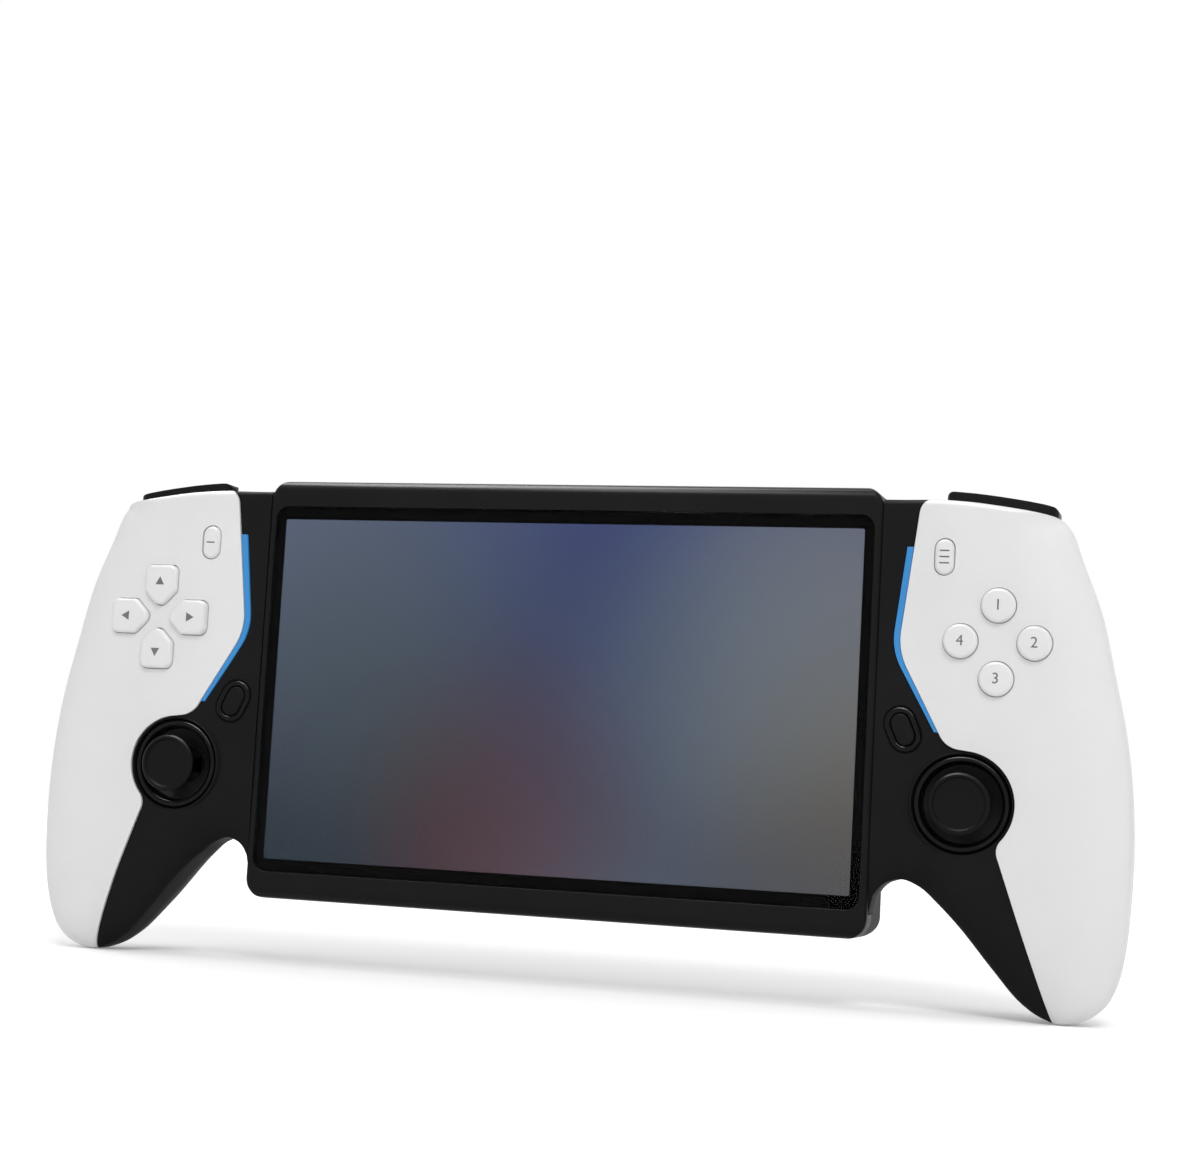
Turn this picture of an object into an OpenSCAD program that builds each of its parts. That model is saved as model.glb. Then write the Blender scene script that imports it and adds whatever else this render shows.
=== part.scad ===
// Handheld game console: a flat tablet with a wide screen, held between two sculpted grip wings.
// +X runs to the player's right, +Y from the screen to the back, +Z up, in millimetres.
// The origin is on the ground under the middle of the console, which stands on its grip tips.
// Inside the modules a depth is measured back from the screen's face and a height from the
// screen's centre; placed() then moves the finished piece to the origin.

/* [Tablet] */
// Width of the tablet between the two wings
tablet_w = 164; // [150:1:180]
// Height of the tablet
tablet_h = 110; // [104:1:122]
// Thickness of the tablet
tablet_t = 19.5; // [17.5:0.5:26]
// Corner radius of the tablet seen from the front
tablet_corner_r = 5; // [3:0.5:9]
// Radius along the front edges of the tablet
tablet_front_r = 1.6; // [0.6:0.1:2.4]
// Radius along the rear edges of the tablet
tablet_back_r = 5; // [2:0.5:7]
// Wall thickness of the tablet casing
tablet_wall = 2.2; // [1.6:0.1:3]
// Depth of the joint between front frame and back cover
tablet_split = 7; // [6:0.5:8]

/* [Screen] */
// Border of the tablet's face beside the lit picture
face_edge_x = 4.5; // [4:0.1:9]
// Border of the tablet's face above and below the lit picture
face_edge_z = 10.3; // [9:0.1:14]
// Black edge of the glass beside the picture
glass_edge_x = 2.5; // [1.5:0.1:4]
// Black edge of the glass above and below the picture
glass_edge_z = 3.3; // [2:0.1:4]
// Thickness of the cover glass
glass_t = 1.1; // [0.7:0.1:1.4]
// Corner radius of the glass
glass_r = 3.5; // [2:0.5:6]
// Thickness of the display panel behind the glass
panel_t = 1.6; // [1:0.1:2]
// Thickness of the chassis plate behind the display
chassis_t = 1.2; // [0.8:0.1:1.6]

/* [Grip wings] */
// Width of each wing, from the tablet's side to the widest point of the grip
wing_w = 61.5; // [60:0.5:70]
// Height of the wing's top edge above the screen centre
wing_top = 52.5; // [50:0.5:54]
// Drop of the grip tip below the screen centre
grip_drop = 71.8; // [66:0.2:84]
// Height of the widest point of the grip
waist_z = -33; // [-38:1:-28]
// Height of the arch between tablet and grip
arch_z = -40; // [-43:0.5:-38]
// Depth of the rearmost point of the grips
grip_depth = 36; // [34:0.5:42]
// Depth of the wing's back beside the tablet
wing_depth = 17; // [16:0.5:19]
// Depth of the back behind the shoulder buttons
shoulder_depth = 20.5; // [19:0.5:23]
// Height of the crown of the covers in front of the screen's face
crown = 2; // [1:0.1:3]
// Step from the white cover down to the dark wing
wing_step = 0.6; // [0.3:0.1:1]
// Width of the rounded rim of the front covers
rim_w = 13; // [9:0.5:16]
// Depth of the rounded rim of the front covers
rim_d = 6; // [5:0.2:6.6]
// Radius of the rounded rear edges
rear_rim = 16; // [12:0.5:20]
// Wall thickness of the shells
shell_wall = 2; // [1.6:0.1:2.4]
// Depth of the joint between front and rear shells
parting = 9; // [8.4:0.2:10]
// Width of the light strip
strip_w = 1.7; // [1:0.1:2.5]

/* [Thumb controls] */
// Distance of the button cross from the tablet's side
pad_x = 29.1; // [27:0.1:33]
// Height of the button cross
pad_z = 17.5; // [15:0.5:20]
// Distance of a round button from the middle of the cross
pad_spread = 8.8; // [8.2:0.1:10]
// Diameter of a round action button
action_d = 8.3; // [7:0.1:9.6]
// Width of a direction key
dpad_w = 9.2; // [7:0.1:10]
// Distance from the middle of the cross to the outer edge of a direction key
dpad_reach = 13.8; // [12:0.1:15]
// Height of the keys above the cover
key_proud = 1.6; // [0.8:0.1:2.2]
// Travel of the keys
key_travel = 1; // [0.5:0.1:1.1]
// Distance of the menu key from the tablet's side
menu_x = 15.7; // [13:0.1:17]
// Height of the menu key
menu_z = 37.8; // [35:0.1:38]
// Width of the menu key
menu_w = 4.8; // [4:0.1:6]
// Length of the menu key
menu_h = 8.8; // [7:0.1:10]
// Distance of the oval function key from the tablet's side
function_x = 6.9; // [6:0.1:8]
// Height of the oval function key
function_z = -4.1; // [-5:0.1:0]
// Width of the oval function key
function_w = 4.6; // [4:0.1:5.5]
// Length of the oval function key
function_h = 8; // [7:0.1:8.6]
// Lean of the oval function key towards the tablet
function_lean = 24; // [0:1:30]
// Gap between a key and its hole
key_gap = 0.25; // [0.2:0.05:0.4]

/* [Thumb sticks] */
// Distance of the stick from the tablet's side
stick_x = 21.9; // [21:0.1:25]
// Height of the stick
stick_z = -21.3; // [-23:0.1:-21]
// Diameter of the stick's cap
stick_cap_d = 15.3; // [13:0.1:16]
// Depth of the top of the cap, in front of the screen's face
stick_top = -6.1; // [-8:0.1:-5.8]
// Depth of the pivot of the stick
stick_pivot = 11; // [10.5:0.1:11.5]
// Radius of the trim ring round the stick
ring_r = 11.6; // [11:0.1:11.8]
// Radius of the hole in the trim ring
ring_hole_r = 9.7; // [9.2:0.1:10]
// Size of the square stick module
module_w = 18; // [17:0.2:18.6]

/* [Shoulder buttons] */
// Distance of the bumper's inner end from the tablet's side
bumper_x = 14.5; // [13.5:0.1:16]
// Distance of the bumper's outer end from the widest point of the grip
bumper_end = 19.8; // [19:0.1:22]
// Height of the bumper above the edge of the white cover
bumper_proud = 2.9; // [1.5:0.1:3]
// Depth of the bumper's front
bumper_front = 4.5; // [4:0.1:5.5]
// Thickness of the bumper from front to back
bumper_t = 9; // [7:0.1:9.4]
// Distance of the trigger's sides in from the ends of the bumper
trigger_edge = 1.6; // [1.3:0.1:2.6]
// Height of the trigger's pivot
trigger_z = 41; // [40:0.2:41.5]
// Depth of the trigger's pivot
trigger_d = 19; // [18.6:0.1:20]
// Radius of the pins of the shoulder buttons
pin_r = 1.2; // [0.9:0.1:1.5]

/* [Sockets and edge buttons] */
// Diameter of the headphone socket's bore
jack_d = 3.6; // [3.5:0.05:3.7]
// Distance of the headphone socket right of the centre
jack_x = 24; // [18:1:30]
// Width of the memory card
card_w = 11; // [10:0.5:12]
// Distance of the card slot right of the centre
card_x = 46; // [42:1:50]
// Distance of the power button left of the centre
power_x = 60; // [56:1:64]
// Distance of the volume rocker left of the centre
volume_x = 34; // [32:1:38]
// Height of the edge buttons above the casing
edge_proud = 0.6; // [0.3:0.1:1]

/* [Hidden] */
$fn = 32;

// Colours of the finishes
white = [0.88, 0.88, 0.88];
dark = [0.13, 0.13, 0.14];
light_blue = [0.29, 0.59, 0.84];
board_green = [0.10, 0.28, 0.20];
metal = [0.66, 0.67, 0.69];

// A cut runs this far past the faces that it goes through
over = 1;
far = 200;
// Seam between neighbouring covers, and the play of pins and screws
seam = 0.1;
play = 0.15;
board_t = 1.2;

// Tablet, measured from the screen's face backwards
side_x = tablet_w / 2;
top_z = tablet_h / 2;
cavity_w = tablet_w - 2 * tablet_wall;
cavity_h = tablet_h - 2 * tablet_wall;
cavity_r = max(1, tablet_corner_r - tablet_wall);
picture_w = tablet_w - 2 * face_edge_x;
picture_h = tablet_h - 2 * face_edge_z;
glass_w = picture_w + 2 * glass_edge_x;
glass_h = picture_h + 2 * glass_edge_z;
panel_border = 1;
panel_w = picture_w + 2 * panel_border;
panel_h = picture_h + 2 * panel_border;
chassis_d = glass_t + panel_t;
chassis_back = chassis_d + chassis_t;
back_inside = tablet_t - tablet_wall;
board_gap = 1.6;
board_d = tablet_split + board_gap;
board_back = board_d + board_t;
main_board_w = 136;
main_board_h = 50;
main_board_z = top_z - tablet_wall - main_board_h / 2 - 1.5;
board_post_r = 2.4;
board_post_in = 4;
board_notch = [8, 14];
chip_w = 20;
chip_t = 1.2;
spreader_w = 46;
spreader_h = 28.5;
spreader_t = 1.8;
spreader_drop = 4;
battery_margin = 35;
battery_w = tablet_w - 2 * battery_margin;
battery_h = 40;
battery_t = 6.5;
lower_z = -top_z + tablet_wall + battery_h / 2 + 2;
speaker_w = 14;
speaker_h = 11;
speaker_t = 6;
speaker_mouth = [8, 6];
speaker_x = battery_w / 2 + speaker_w / 2 + 5;
speaker_z = -top_z + tablet_wall + speaker_h / 2 + 0.4;
slot_w = 1.2;
slot_h = 4;
slot_pitch = 3;
vent_pitch = 4.4;
vent_w = 2;
vent_h = 18;
vent_z = 28;

// Sockets and keys along the tablet's upper edge
socket_z = top_z - 0.3;
socket_floor = 1;
usb_w = 8.9;
usb_t = 3.2;
usb_shell = 0.3;
usb_l = 8;
tongue_w = 6.6;
tongue_t = 0.7;
jack_collar_r = jack_d / 2 + 0.9;
jack_body_w = 7;
jack_axis_d = board_back + jack_collar_r + 0.2;
jack_l = 13;
card_t = 2;
card_l = 15;
edge_d = board_back + 2.6;
edge_t = 3;
edge_flange = 1;
edge_stroke = 0.6;
power_w = 10;
volume_w = 22;

// Grip wings
outer_x = side_x + wing_w;
rear_wall = parting + 2;
crown_start = 4;
crown_full = 20;
tip_recede = 2;
rim_near = 0.3;
rim_fade = 16;
top_rim = 1.6;
top_rear_rim = 5;
corner_inset = 18;
stick_cx = side_x + stick_x;
pad_cx = side_x + pad_x;
cover_arc_r = ring_r + 1;
nose_r = 4;
cover_top_in = 9.4;
cover_side_in = 5;
cover_side_drop = 2.5;
cover_heel = 4.2;
cover_low_z = stick_z + cover_arc_r + 0.6;
rear_top_in = 12;
rear_side_in = 11;
grip_head = 7.6;
grip_foot = 14.1;
grip_line = [[stick_cx + grip_head, stick_z - 8.7], [outer_x - grip_foot, -grip_drop - 8.2]];
strip_low = -4.6;
strip_h = 45;

// Key stack, from the inside of the cover down to the circuit board
key_board_d = 5;
membrane_t = 1.1;
flange_t = 0.9;
flange_w = 0.8;
flange_d = shell_wall - crown + 0.75;
menu_flange_d = flange_d + 0.6;
menu_proud = 0.2;
key_bottom = key_board_d - membrane_t - key_travel - 0.3;
key_board_back = key_board_d + board_t;
function_travel = 0.5;
function_proud = 0.8;
function_flange_t = 0.5;
function_flange_w = 0.6;
function_lip = 0.45;
function_lip_w = 1.4;
function_bottom = key_board_d - membrane_t - function_travel - 0.1;

// Sticks
ring_seat = 0.6;
ring_top = wing_step - crown - 0.2;
well_bottom = 6.5;
well_r = ring_r + 0.8;
collar_top = wing_step - crown - 0.1;
collar_r = ring_r + 0.8;
collar_foot_r = ring_r + 1.4;
module_wall = 1.2;
module_lid = 0.8;
module_mouth_r = 4.3;
module_back = stick_pivot + 6;
cap_rim_t = 1.1;
cap_rim_w = 2.3;
cap_neck_r = 3.6;
stem_r = 1.8;
axle_r = 1.5;
cross_pin_r = 0.9;
gimbal_w = 8;
gimbal_h = 8;
gimbal_d = 4.8;
stem_front = stick_top + 3.5;
click_gap = 0.6;

// Circuit board under the keys, ending above the stick
key_board_in = side_x + shell_wall + 0.4;
key_board_out = side_x + 45.5;
key_board_top = menu_z + 3.5;
key_board_low = stick_z + well_r + 0.5;

// Shoulder buttons
bumper_in = side_x + bumper_x;
bumper_out = outer_x - bumper_end;
bumper_l = bumper_out - bumper_in;
bumper_back = bumper_front + bumper_t;
bumper_gap = 0.4;
bumper_pivot = [bumper_in + 3.8, wing_top - 5.3];
bumper_eye_r = pin_r + 1.7;
bumper_heel = 5.3;
bumper_toe = 8.6;
bumper_slot_z = wing_top - 11;
bracket_d = bumper_back + 0.9;
bracket_t = 1;
bracket_back = bracket_d + bracket_t;
bracket_top = trigger_z + 2.5;
bracket_h = 16;
bracket_tab_w = 4.8;
bracket_post_r = 2.4;
bracket_post_x = 9;
bracket_post_drop = 10;
pin_fit = 0.05;
trigger_mid = bumper_in + bumper_l / 2;
trigger_w = bumper_l - 2 * trigger_edge;
trigger_in = trigger_mid - trigger_w / 2;
trigger_gap = 0.5;
trigger_room = 17.5;
ear_t = 1.4;
ear_gap = 0.4;
ear_r = 2.8;
hub_r = 3.4;
hub_w = trigger_w - 2 * (ear_t + ear_gap);

// Screws: the wing screws as [distance from the tablet's side, height], then the tablet's own
screw_r = 1.1;
screw_head_r = 2.2;
screw_head_t = 1.5;
screw_socket_r = 1;
front_post_r = screw_r + 1.7;
rear_post_r = screw_head_r + 1.2;
cover_post_r = 2.2;
screw_seat = parting + 4;
screw_tip = 3.4;
dark_screws = [[5, -33], [5, wing_top - 6.5]];
white_screws = [[wing_w - 13, -44], [wing_w - 10.5, -6]];
cover_posts = [[38, 36.5], [26.5, -4], [42.5, -4]];
tablet_screw_in = 9;
tablet_post_r = 3;
tablet_seat = tablet_t - screw_head_t - 0.2;

// Whole object
back_y = grip_depth;
front_y = stick_top;
mid_y = (front_y + back_y) / 2;

module placed() { translate([0, -mid_y, grip_drop]) children(); }
module on_side(s) { if (s > 0) children(); else mirror([1, 0, 0]) children(); }
module as_mesh() { resize([0, 0, 0]) children(); }

// Extrudes a shape drawn from the front between two depths
module front_prism(d0, d1) {
    translate([0, d1, 0]) rotate([90, 0, 0]) linear_extrude(d1 - d0) children();
}

// Extrudes a shape drawn as [depth, height] between two widths
module side_prism(x0, x1) {
    translate([x0, 0, 0]) rotate([90, 0, 90]) linear_extrude(x1 - x0) children();
}

module plate2d(w, h, r) {
    square([w - 2 * r, h], center = true);
    square([w, h - 2 * r], center = true);
    for (x = [-1, 1], z = [-1, 1]) translate([x * (w / 2 - r), z * (h / 2 - r)]) circle(r);
}

module slot2d(w, h) {
    r = min(w, h) / 2;
    square(w < h ? [w, h - w] : [w - h, h], center = true);
    for (e = [-1, 1]) translate(w < h ? [0, e * (h / 2 - r)] : [e * (w / 2 - r), 0]) circle(r);
}

module rod(p, r, d0, d1) { translate([p[0], d1, p[1]]) rotate([90, 0, 0]) cylinder(r = r, h = d1 - d0); }

// Corner rounding for outlines given as [x, z, radius]
function unit(v) = v / norm(v);
function flat(p) = [p[0], p[1]];
function turned(v, a) = [v[0] * cos(a) - v[1] * sin(a), v[0] * sin(a) + v[1] * cos(a)];
function corner_arc(a, p, c, r, n = 6) =
    let (u = unit(a - p), w = unit(c - p), half = acos(u * w) / 2,
         centre = p + unit(u + w) * r / sin(half), start = p + u * r / tan(half) - centre,
         sweep = (u[0] * w[1] - u[1] * w[0] > 0 ? -1 : 1) * (180 - 2 * half))
    [for (i = [0:n]) centre + turned(start, sweep * i / n)];
function rounded(path) = let (n = len(path)) [
    for (i = [0:n - 1])
        let (a = path[(i + n - 1) % n], p = path[i], c = path[(i + 1) % n])
        each (p[2] > 0 ? corner_arc(flat(a), flat(p), flat(c), p[2]) : [flat(p)])
];

function smooth(a, b, v) = let (t = min(1, max(0, (v - a) / (b - a)))) t * t * (3 - 2 * t);

// Outline of the wing, as [distance in from the widest point, height]
top_edge = [
    [0, waist_z], [1.4, waist_z + 23], [5.3, waist_z + 43], [9, wing_top - 26.5], [14, wing_top - 13.5],
    [16.6, wing_top - 6.6], [18.4, wing_top - 4.6], [21.5, wing_top - 3.6], [31.5, wing_top - 1.8],
    [41.5, wing_top - 0.6], [wing_w - 9, wing_top], [wing_w, wing_top]
];
low_edge = [
    [0, waist_z], [0.45, waist_z - 13], [1.3, 17 - grip_drop], [2.9, 9.8 - grip_drop],
    [5.4, 4.8 - grip_drop], [10, 1.3 - grip_drop], [15.5, -grip_drop], [20, 1.3 - grip_drop],
    [25, 4.5 - grip_drop], [31.7, 11.8 - grip_drop], [40.3, 21.8 - grip_drop],
    [wing_w - 16, arch_z - 5], [wing_w - 11.5, arch_z - 1.4], [wing_w - 7.5, arch_z],
    [wing_w - 4, arch_z - 0.9], [wing_w - 1.8, arch_z - 2.8], [wing_w - 0.6, arch_z - 5.2],
    [wing_w, arch_z - 9]
];

// A smooth curve through such points that never overshoots them; the square root
// of the distance keeps it round at the widest point
function knot(e, i) = sqrt(e[i][0]);
function rise(e, i) = (e[i + 1][1] - e[i][1]) / (knot(e, i + 1) - knot(e, i));
function slope(e, i) = i == 0 ? rise(e, 0) : i == len(e) - 1 ? rise(e, i - 1)
    : let (a = rise(e, i - 1), b = rise(e, i)) a * b <= 0 ? 0 : 2 * a * b / (a + b);
function span(e, k, i = 0) = i >= len(e) - 2 || k <= knot(e, i + 1) ? i : span(e, k, i + 1);
function edge_z(e, inset) =
    let (k = sqrt(inset), i = span(e, k), h = knot(e, i + 1) - knot(e, i), t = (k - knot(e, i)) / h)
    e[i][1] * (1 + 2 * t) * (1 - t) * (1 - t) + h * slope(e, i) * t * (1 - t) * (1 - t)
    + e[i + 1][1] * t * t * (3 - 2 * t) + h * slope(e, i + 1) * t * t * (t - 1);
function edge_lean(e, inset) =
    let (s = 0.02, a = max(0, inset - s), b = min(wing_w, inset + s))
    sqrt(1 + pow((edge_z(e, b) - edge_z(e, a)) / (b - a), 2));

// The rounded part of the outline: the outer side, the tip and the arch
function rim_path() = concat(
    [for (i = [12:-1:1]) let (s = corner_inset * i * i / 144) [outer_x - s, edge_z(top_edge, s)]],
    [for (i = [0:40]) let (s = wing_w * i * i / 1600) [outer_x - s, edge_z(low_edge, s)]]
);
function segment_gap(p, a, b) =
    let (ab = b - a, t = min(1, max(0, ((p - a) * ab) / (ab * ab)))) norm(p - a - ab * t);
function rim_gap(p, path) = min([for (i = [0:len(path) - 2]) segment_gap(p, path[i], path[i + 1])]);
function top_gap(x, z) = outer_x - x < corner_inset ? far : edge_z(top_edge, outer_x - x) - z;

// Depth of the front and the back of a wing at a point seen from the front
function dip(gap, w, d) = gap >= w ? 0 : d * (1 - sqrt(max(0, 1 - pow(1 - max(0, gap) / w, 2))));
function rim_share(x) = rim_near + (1 - rim_near) * smooth(side_x, side_x + rim_fade, x);
function front_depth(x, z, gap, step) =
    step - crown * smooth(side_x + crown_start, side_x + crown_full, x)
    + tip_recede * smooth(grip_drop - 26, grip_drop, -z)
    + max(dip(gap, rim_w, rim_d * rim_share(x)), dip(top_gap(x, z), top_rim, top_rim));
function swell(x, z) =
    let (across = smooth(side_x, side_x + 34, x), down = smooth(-34, 10, -z),
         tip = 1 - 0.5 * smooth(grip_drop - 26, grip_drop, -z))
    wing_depth - rear_wall
    + across * ((shoulder_depth - wing_depth) + (grip_depth - shoulder_depth) * down * tip);
function back_depth(x, z, gap) =
    rear_wall + swell(x, z) * min(1 - dip(gap, rear_rim, 1), 1 - dip(top_gap(x, z), top_rear_rim, 1));

// Solid wing, lofted through upright sections from the widest point in to the tablet's side.
// inset shrinks it on all sides for the hollow, and step lowers its front face.
module wing_loft(inset, step, n, m) {
    path = rim_path();
    spans = wing_w - 2 * inset;
    rows = [for (i = [0:n]) let (t = i / n, s = 0.025 + 0.975 * (t - 0.05 * sin(360 * t)))
        inset + spans * s * s];
    sections = [
        for (r = rows)
            let (x = outer_x - r,
                 z0 = edge_z(low_edge, r) + inset * edge_lean(low_edge, r),
                 z1 = edge_z(top_edge, r) - inset * edge_lean(top_edge, r))
            [for (j = [0:m]) [x, z0 + (z1 - z0) * (0.5 - 0.5 * cos(180 * j / m))]]
    ];
    faces_ij = [for (row = sections) [for (p = row) let (gap = rim_gap(p, path))
        [front_depth(p[0], p[1], gap, step) + inset, back_depth(p[0], p[1], gap) - inset]]];
    points = [for (i = [0:n]) for (side = [0, 1]) for (j = [0:m])
        [sections[i][j][0], faces_ij[i][j][side], sections[i][j][1]]];
    w = 2 * (m + 1);
    b = m + 1;
    walls = [for (i = [0:n - 1]) let (a = i * w, c = a + w) each [
        for (j = [0:m - 1]) each [
            [a + j, c + j, c + j + 1], [a + j, c + j + 1, a + j + 1],
            [a + b + j, a + b + j + 1, c + b + j + 1], [a + b + j, c + b + j + 1, c + b + j]],
        [c, a, a + b], [c, a + b, c + b],
        [a + m, c + m, c + b + m], [a + m, c + b + m, a + b + m]]];
    ends = [for (j = [0:m - 1]) each [
        [j, j + 1, b + j + 1, b + j],
        [n * w + j + 1, n * w + j, n * w + b + j, n * w + b + j + 1]]];
    polyhedron(points, concat(walls, ends), convexity = 6);
}
module wing_solid(step) { wing_loft(0, step, 24, 11); }
module wing_shell(step) { difference() { wing_solid(step); wing_loft(shell_wall, step, 10, 7); } }
module in_front() { translate([-far, parting - far, -far]) cube([2 * far, far, 2 * far]); }
module behind() { translate([-far, parting, -far]) cube([2 * far, far, 2 * far]); }

// Front of the white cover: straight edges beside the tablet and along the grip, an arc round the stick
module white_front2d() {
    offset(r = nose_r) offset(delta = -nose_r) difference() {
        polygon(rounded([
            [outer_x + far, wing_top + over, 0], [stick_cx, wing_top + over, 0],
            [side_x + cover_top_in, wing_top, 0], [side_x + cover_side_in, pad_z - cover_side_drop, 15],
            [stick_cx - cover_heel, cover_low_z, 6], [stick_cx, cover_low_z, 0],
            [stick_cx, grip_line[0][1], 0], [grip_line[0][0], grip_line[0][1], 0],
            [grip_line[1][0], grip_line[1][1], 0], [outer_x + far, grip_line[1][1], 0]
        ]));
        translate([stick_cx, stick_z]) circle(cover_arc_r);
    }
}
module white_back2d() {
    polygon(rounded([
        [outer_x + far, wing_top + over, 0], [side_x + rear_top_in, wing_top + over, 0],
        [side_x + rear_side_in, 0, 40],
        [grip_line[0][0] - 1, grip_line[0][1], 20], [grip_line[1][0], grip_line[1][1], 0],
        [outer_x + far, grip_line[1][1], 0]
    ]));
}
module strip2d(grow) {
    intersection() {
        difference() {
            offset(delta = strip_w + 2 * seam + grow) white_front2d();
            offset(delta = seam - grow) white_front2d();
        }
        translate([side_x, strip_low - grow]) square([stick_x, strip_h + 2 * grow]);
    }
}

// Outlines of the keys, seen from the front
function quarter(i) = turned([0, 1], -90 * i);
module action2d(i, grow = 0) {
    c = quarter(i) * pad_spread;
    translate([pad_cx + c[0], pad_z + c[1]]) circle(action_d / 2 + grow);
}
module dpad2d(i, grow = 0) {
    h = dpad_w / 2;
    inner = 2.2;
    translate([pad_cx, pad_z]) rotate(-90 * i) offset(delta = grow) polygon(rounded([
        [-h, dpad_reach, 2], [h, dpad_reach, 2],
        [h, inner + h, 1.6], [0, inner, 2.4], [-h, inner + h, 1.6]]));
}
module menu2d(grow = 0) {
    translate([side_x + menu_x, menu_z]) slot2d(menu_w + 2 * grow, menu_h + 2 * grow);
}
module function2d(grow = 0) {
    translate([side_x + function_x, function_z]) rotate(function_lean)
        slot2d(function_w + 2 * grow, function_h + 2 * grow);
}

// Tablet

module tablet_body() {
    intersection() {
        front_prism(0, tablet_t) plate2d(tablet_w, tablet_h, tablet_corner_r);
        side_prism(-side_x, side_x) polygon(rounded([
            [0, -top_z, tablet_front_r], [tablet_t, -top_z, tablet_back_r],
            [tablet_t, top_z, tablet_back_r], [0, top_z, tablet_front_r]]));
    }
}
module tablet_cavity(d0, d1) { front_prism(d0, d1) plate2d(cavity_w, cavity_h, cavity_r); }
function tablet_screws() = [for (x = [-1, 1], z = [-1, 1])
    [x * (side_x - tablet_screw_in), z * (top_z - tablet_screw_in)]];

module front_frame() {
    color(dark) placed() difference() {
        intersection() {
            tablet_body();
            translate([-far, 0, -far]) cube([2 * far, tablet_split, 2 * far]);
        }
        front_prism(-over, glass_t) plate2d(glass_w + 2 * seam, glass_h + 2 * seam, glass_r + seam);
        front_prism(-over, chassis_d + over) plate2d(panel_w + 2 * play, panel_h + 2 * play, 0.8);
        tablet_cavity(chassis_d, tablet_split + over);
    }
}

module socket_cuts() {
    translate([0, 0, top_z - tablet_wall - over]) {
        translate([0, board_back + usb_t / 2, 0]) linear_extrude(tablet_wall + 2 * over)
            slot2d(usb_w + 2 * play, usb_t + 2 * play);
        translate([jack_x, jack_axis_d, 0]) cylinder(r = jack_collar_r + play, h = tablet_wall + 2 * over);
        translate([card_x, board_back + card_t / 2, 0]) linear_extrude(tablet_wall + 2 * over)
            square([card_w + 1, card_t], center = true);
        translate([-power_x, edge_d, 0]) linear_extrude(tablet_wall + 2 * over)
            slot2d(power_w + 2 * key_gap, edge_t + 2 * key_gap);
        translate([-volume_x, edge_d, 0]) linear_extrude(tablet_wall + 2 * over)
            slot2d(volume_w + 2 * key_gap, edge_t + 2 * key_gap);
    }
}

module back_cover() {
    color(dark) placed() difference() {
        intersection() {
            tablet_body();
            translate([-far, tablet_split, -far]) cube([2 * far, far, 2 * far]);
        }
        tablet_cavity(tablet_split - over, back_inside);
        socket_cuts();
        for (i = [-8:8]) front_prism(back_inside - over, tablet_t + over)
            translate([i * vent_pitch, vent_z]) slot2d(vent_w, vent_h);
        for (s = [-1, 1], i = [-3:3])
            translate([s * speaker_x + i * slot_pitch, chassis_back + speaker_t + 2, -top_z - over])
                linear_extrude(tablet_wall + 2 * over) slot2d(slot_w, slot_h);
        for (p = tablet_screws()) {
            rod(p, screw_r + play, back_inside - over, tablet_t + over);
            rod(p, screw_head_r + play, tablet_seat, tablet_t + over);
        }
    }
}

module screen_glass() {
    color([0.03, 0.03, 0.04]) placed() front_prism(0, glass_t) plate2d(glass_w, glass_h, glass_r);
}
module display_panel() {
    color([0.2, 0.3, 0.4]) placed() front_prism(glass_t, chassis_d) plate2d(panel_w, panel_h, 0.6);
}

// Pressed plate that carries the board, the battery and the speakers, with its screw posts
function board_posts() = [for (x = [-1, 1], z = [-1, 1])
    [x * (main_board_w / 2 - board_post_in), main_board_z + z * (main_board_h / 2 - board_post_in)]];
module chassis_plate() {
    color(metal) placed() difference() {
        union() {
            front_prism(chassis_d, chassis_back)
                plate2d(cavity_w - 2 * play, cavity_h - 2 * play, cavity_r);
            for (p = board_posts()) rod(p, board_post_r, chassis_back - 0.2, board_d);
            for (p = tablet_screws()) rod(p, tablet_post_r, chassis_back - 0.2, back_inside);
        }
        for (p = tablet_screws()) rod(p, screw_r + seam, chassis_back + 1, back_inside + over);
    }
}

module main_board() {
    color(board_green) placed() {
        front_prism(board_d, board_back) translate([0, main_board_z]) difference() {
            plate2d(main_board_w, main_board_h, 2);
            for (x = [-1, 1]) translate([x * main_board_w / 2, 0]) slot2d(board_notch[0], board_notch[1]);
        }
        front_prism(board_d, board_back + chip_t) translate([0, main_board_z]) square(chip_w, center = true);
    }
}
module heat_spreader() {
    spreader_d = board_back + chip_t;
    color([0.72, 0.45, 0.3]) placed() translate([0, 0, main_board_z - spreader_drop])
        front_prism(spreader_d, spreader_d + spreader_t) plate2d(spreader_w, spreader_h, 3);
}
module battery() {
    color([0.25, 0.25, 0.27]) placed() translate([0, 0, lower_z])
        front_prism(chassis_back, chassis_back + battery_t) plate2d(battery_w, battery_h, 1.5);
}
module speaker(s) {
    color(dark) placed() translate([s * speaker_x, 0, speaker_z]) difference() {
        front_prism(chassis_back, chassis_back + speaker_t) plate2d(speaker_w, speaker_h, 2);
        front_prism(chassis_back + speaker_t - 1, chassis_back + speaker_t + over)
            slot2d(speaker_mouth[0], speaker_mouth[1]);
    }
}

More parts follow.
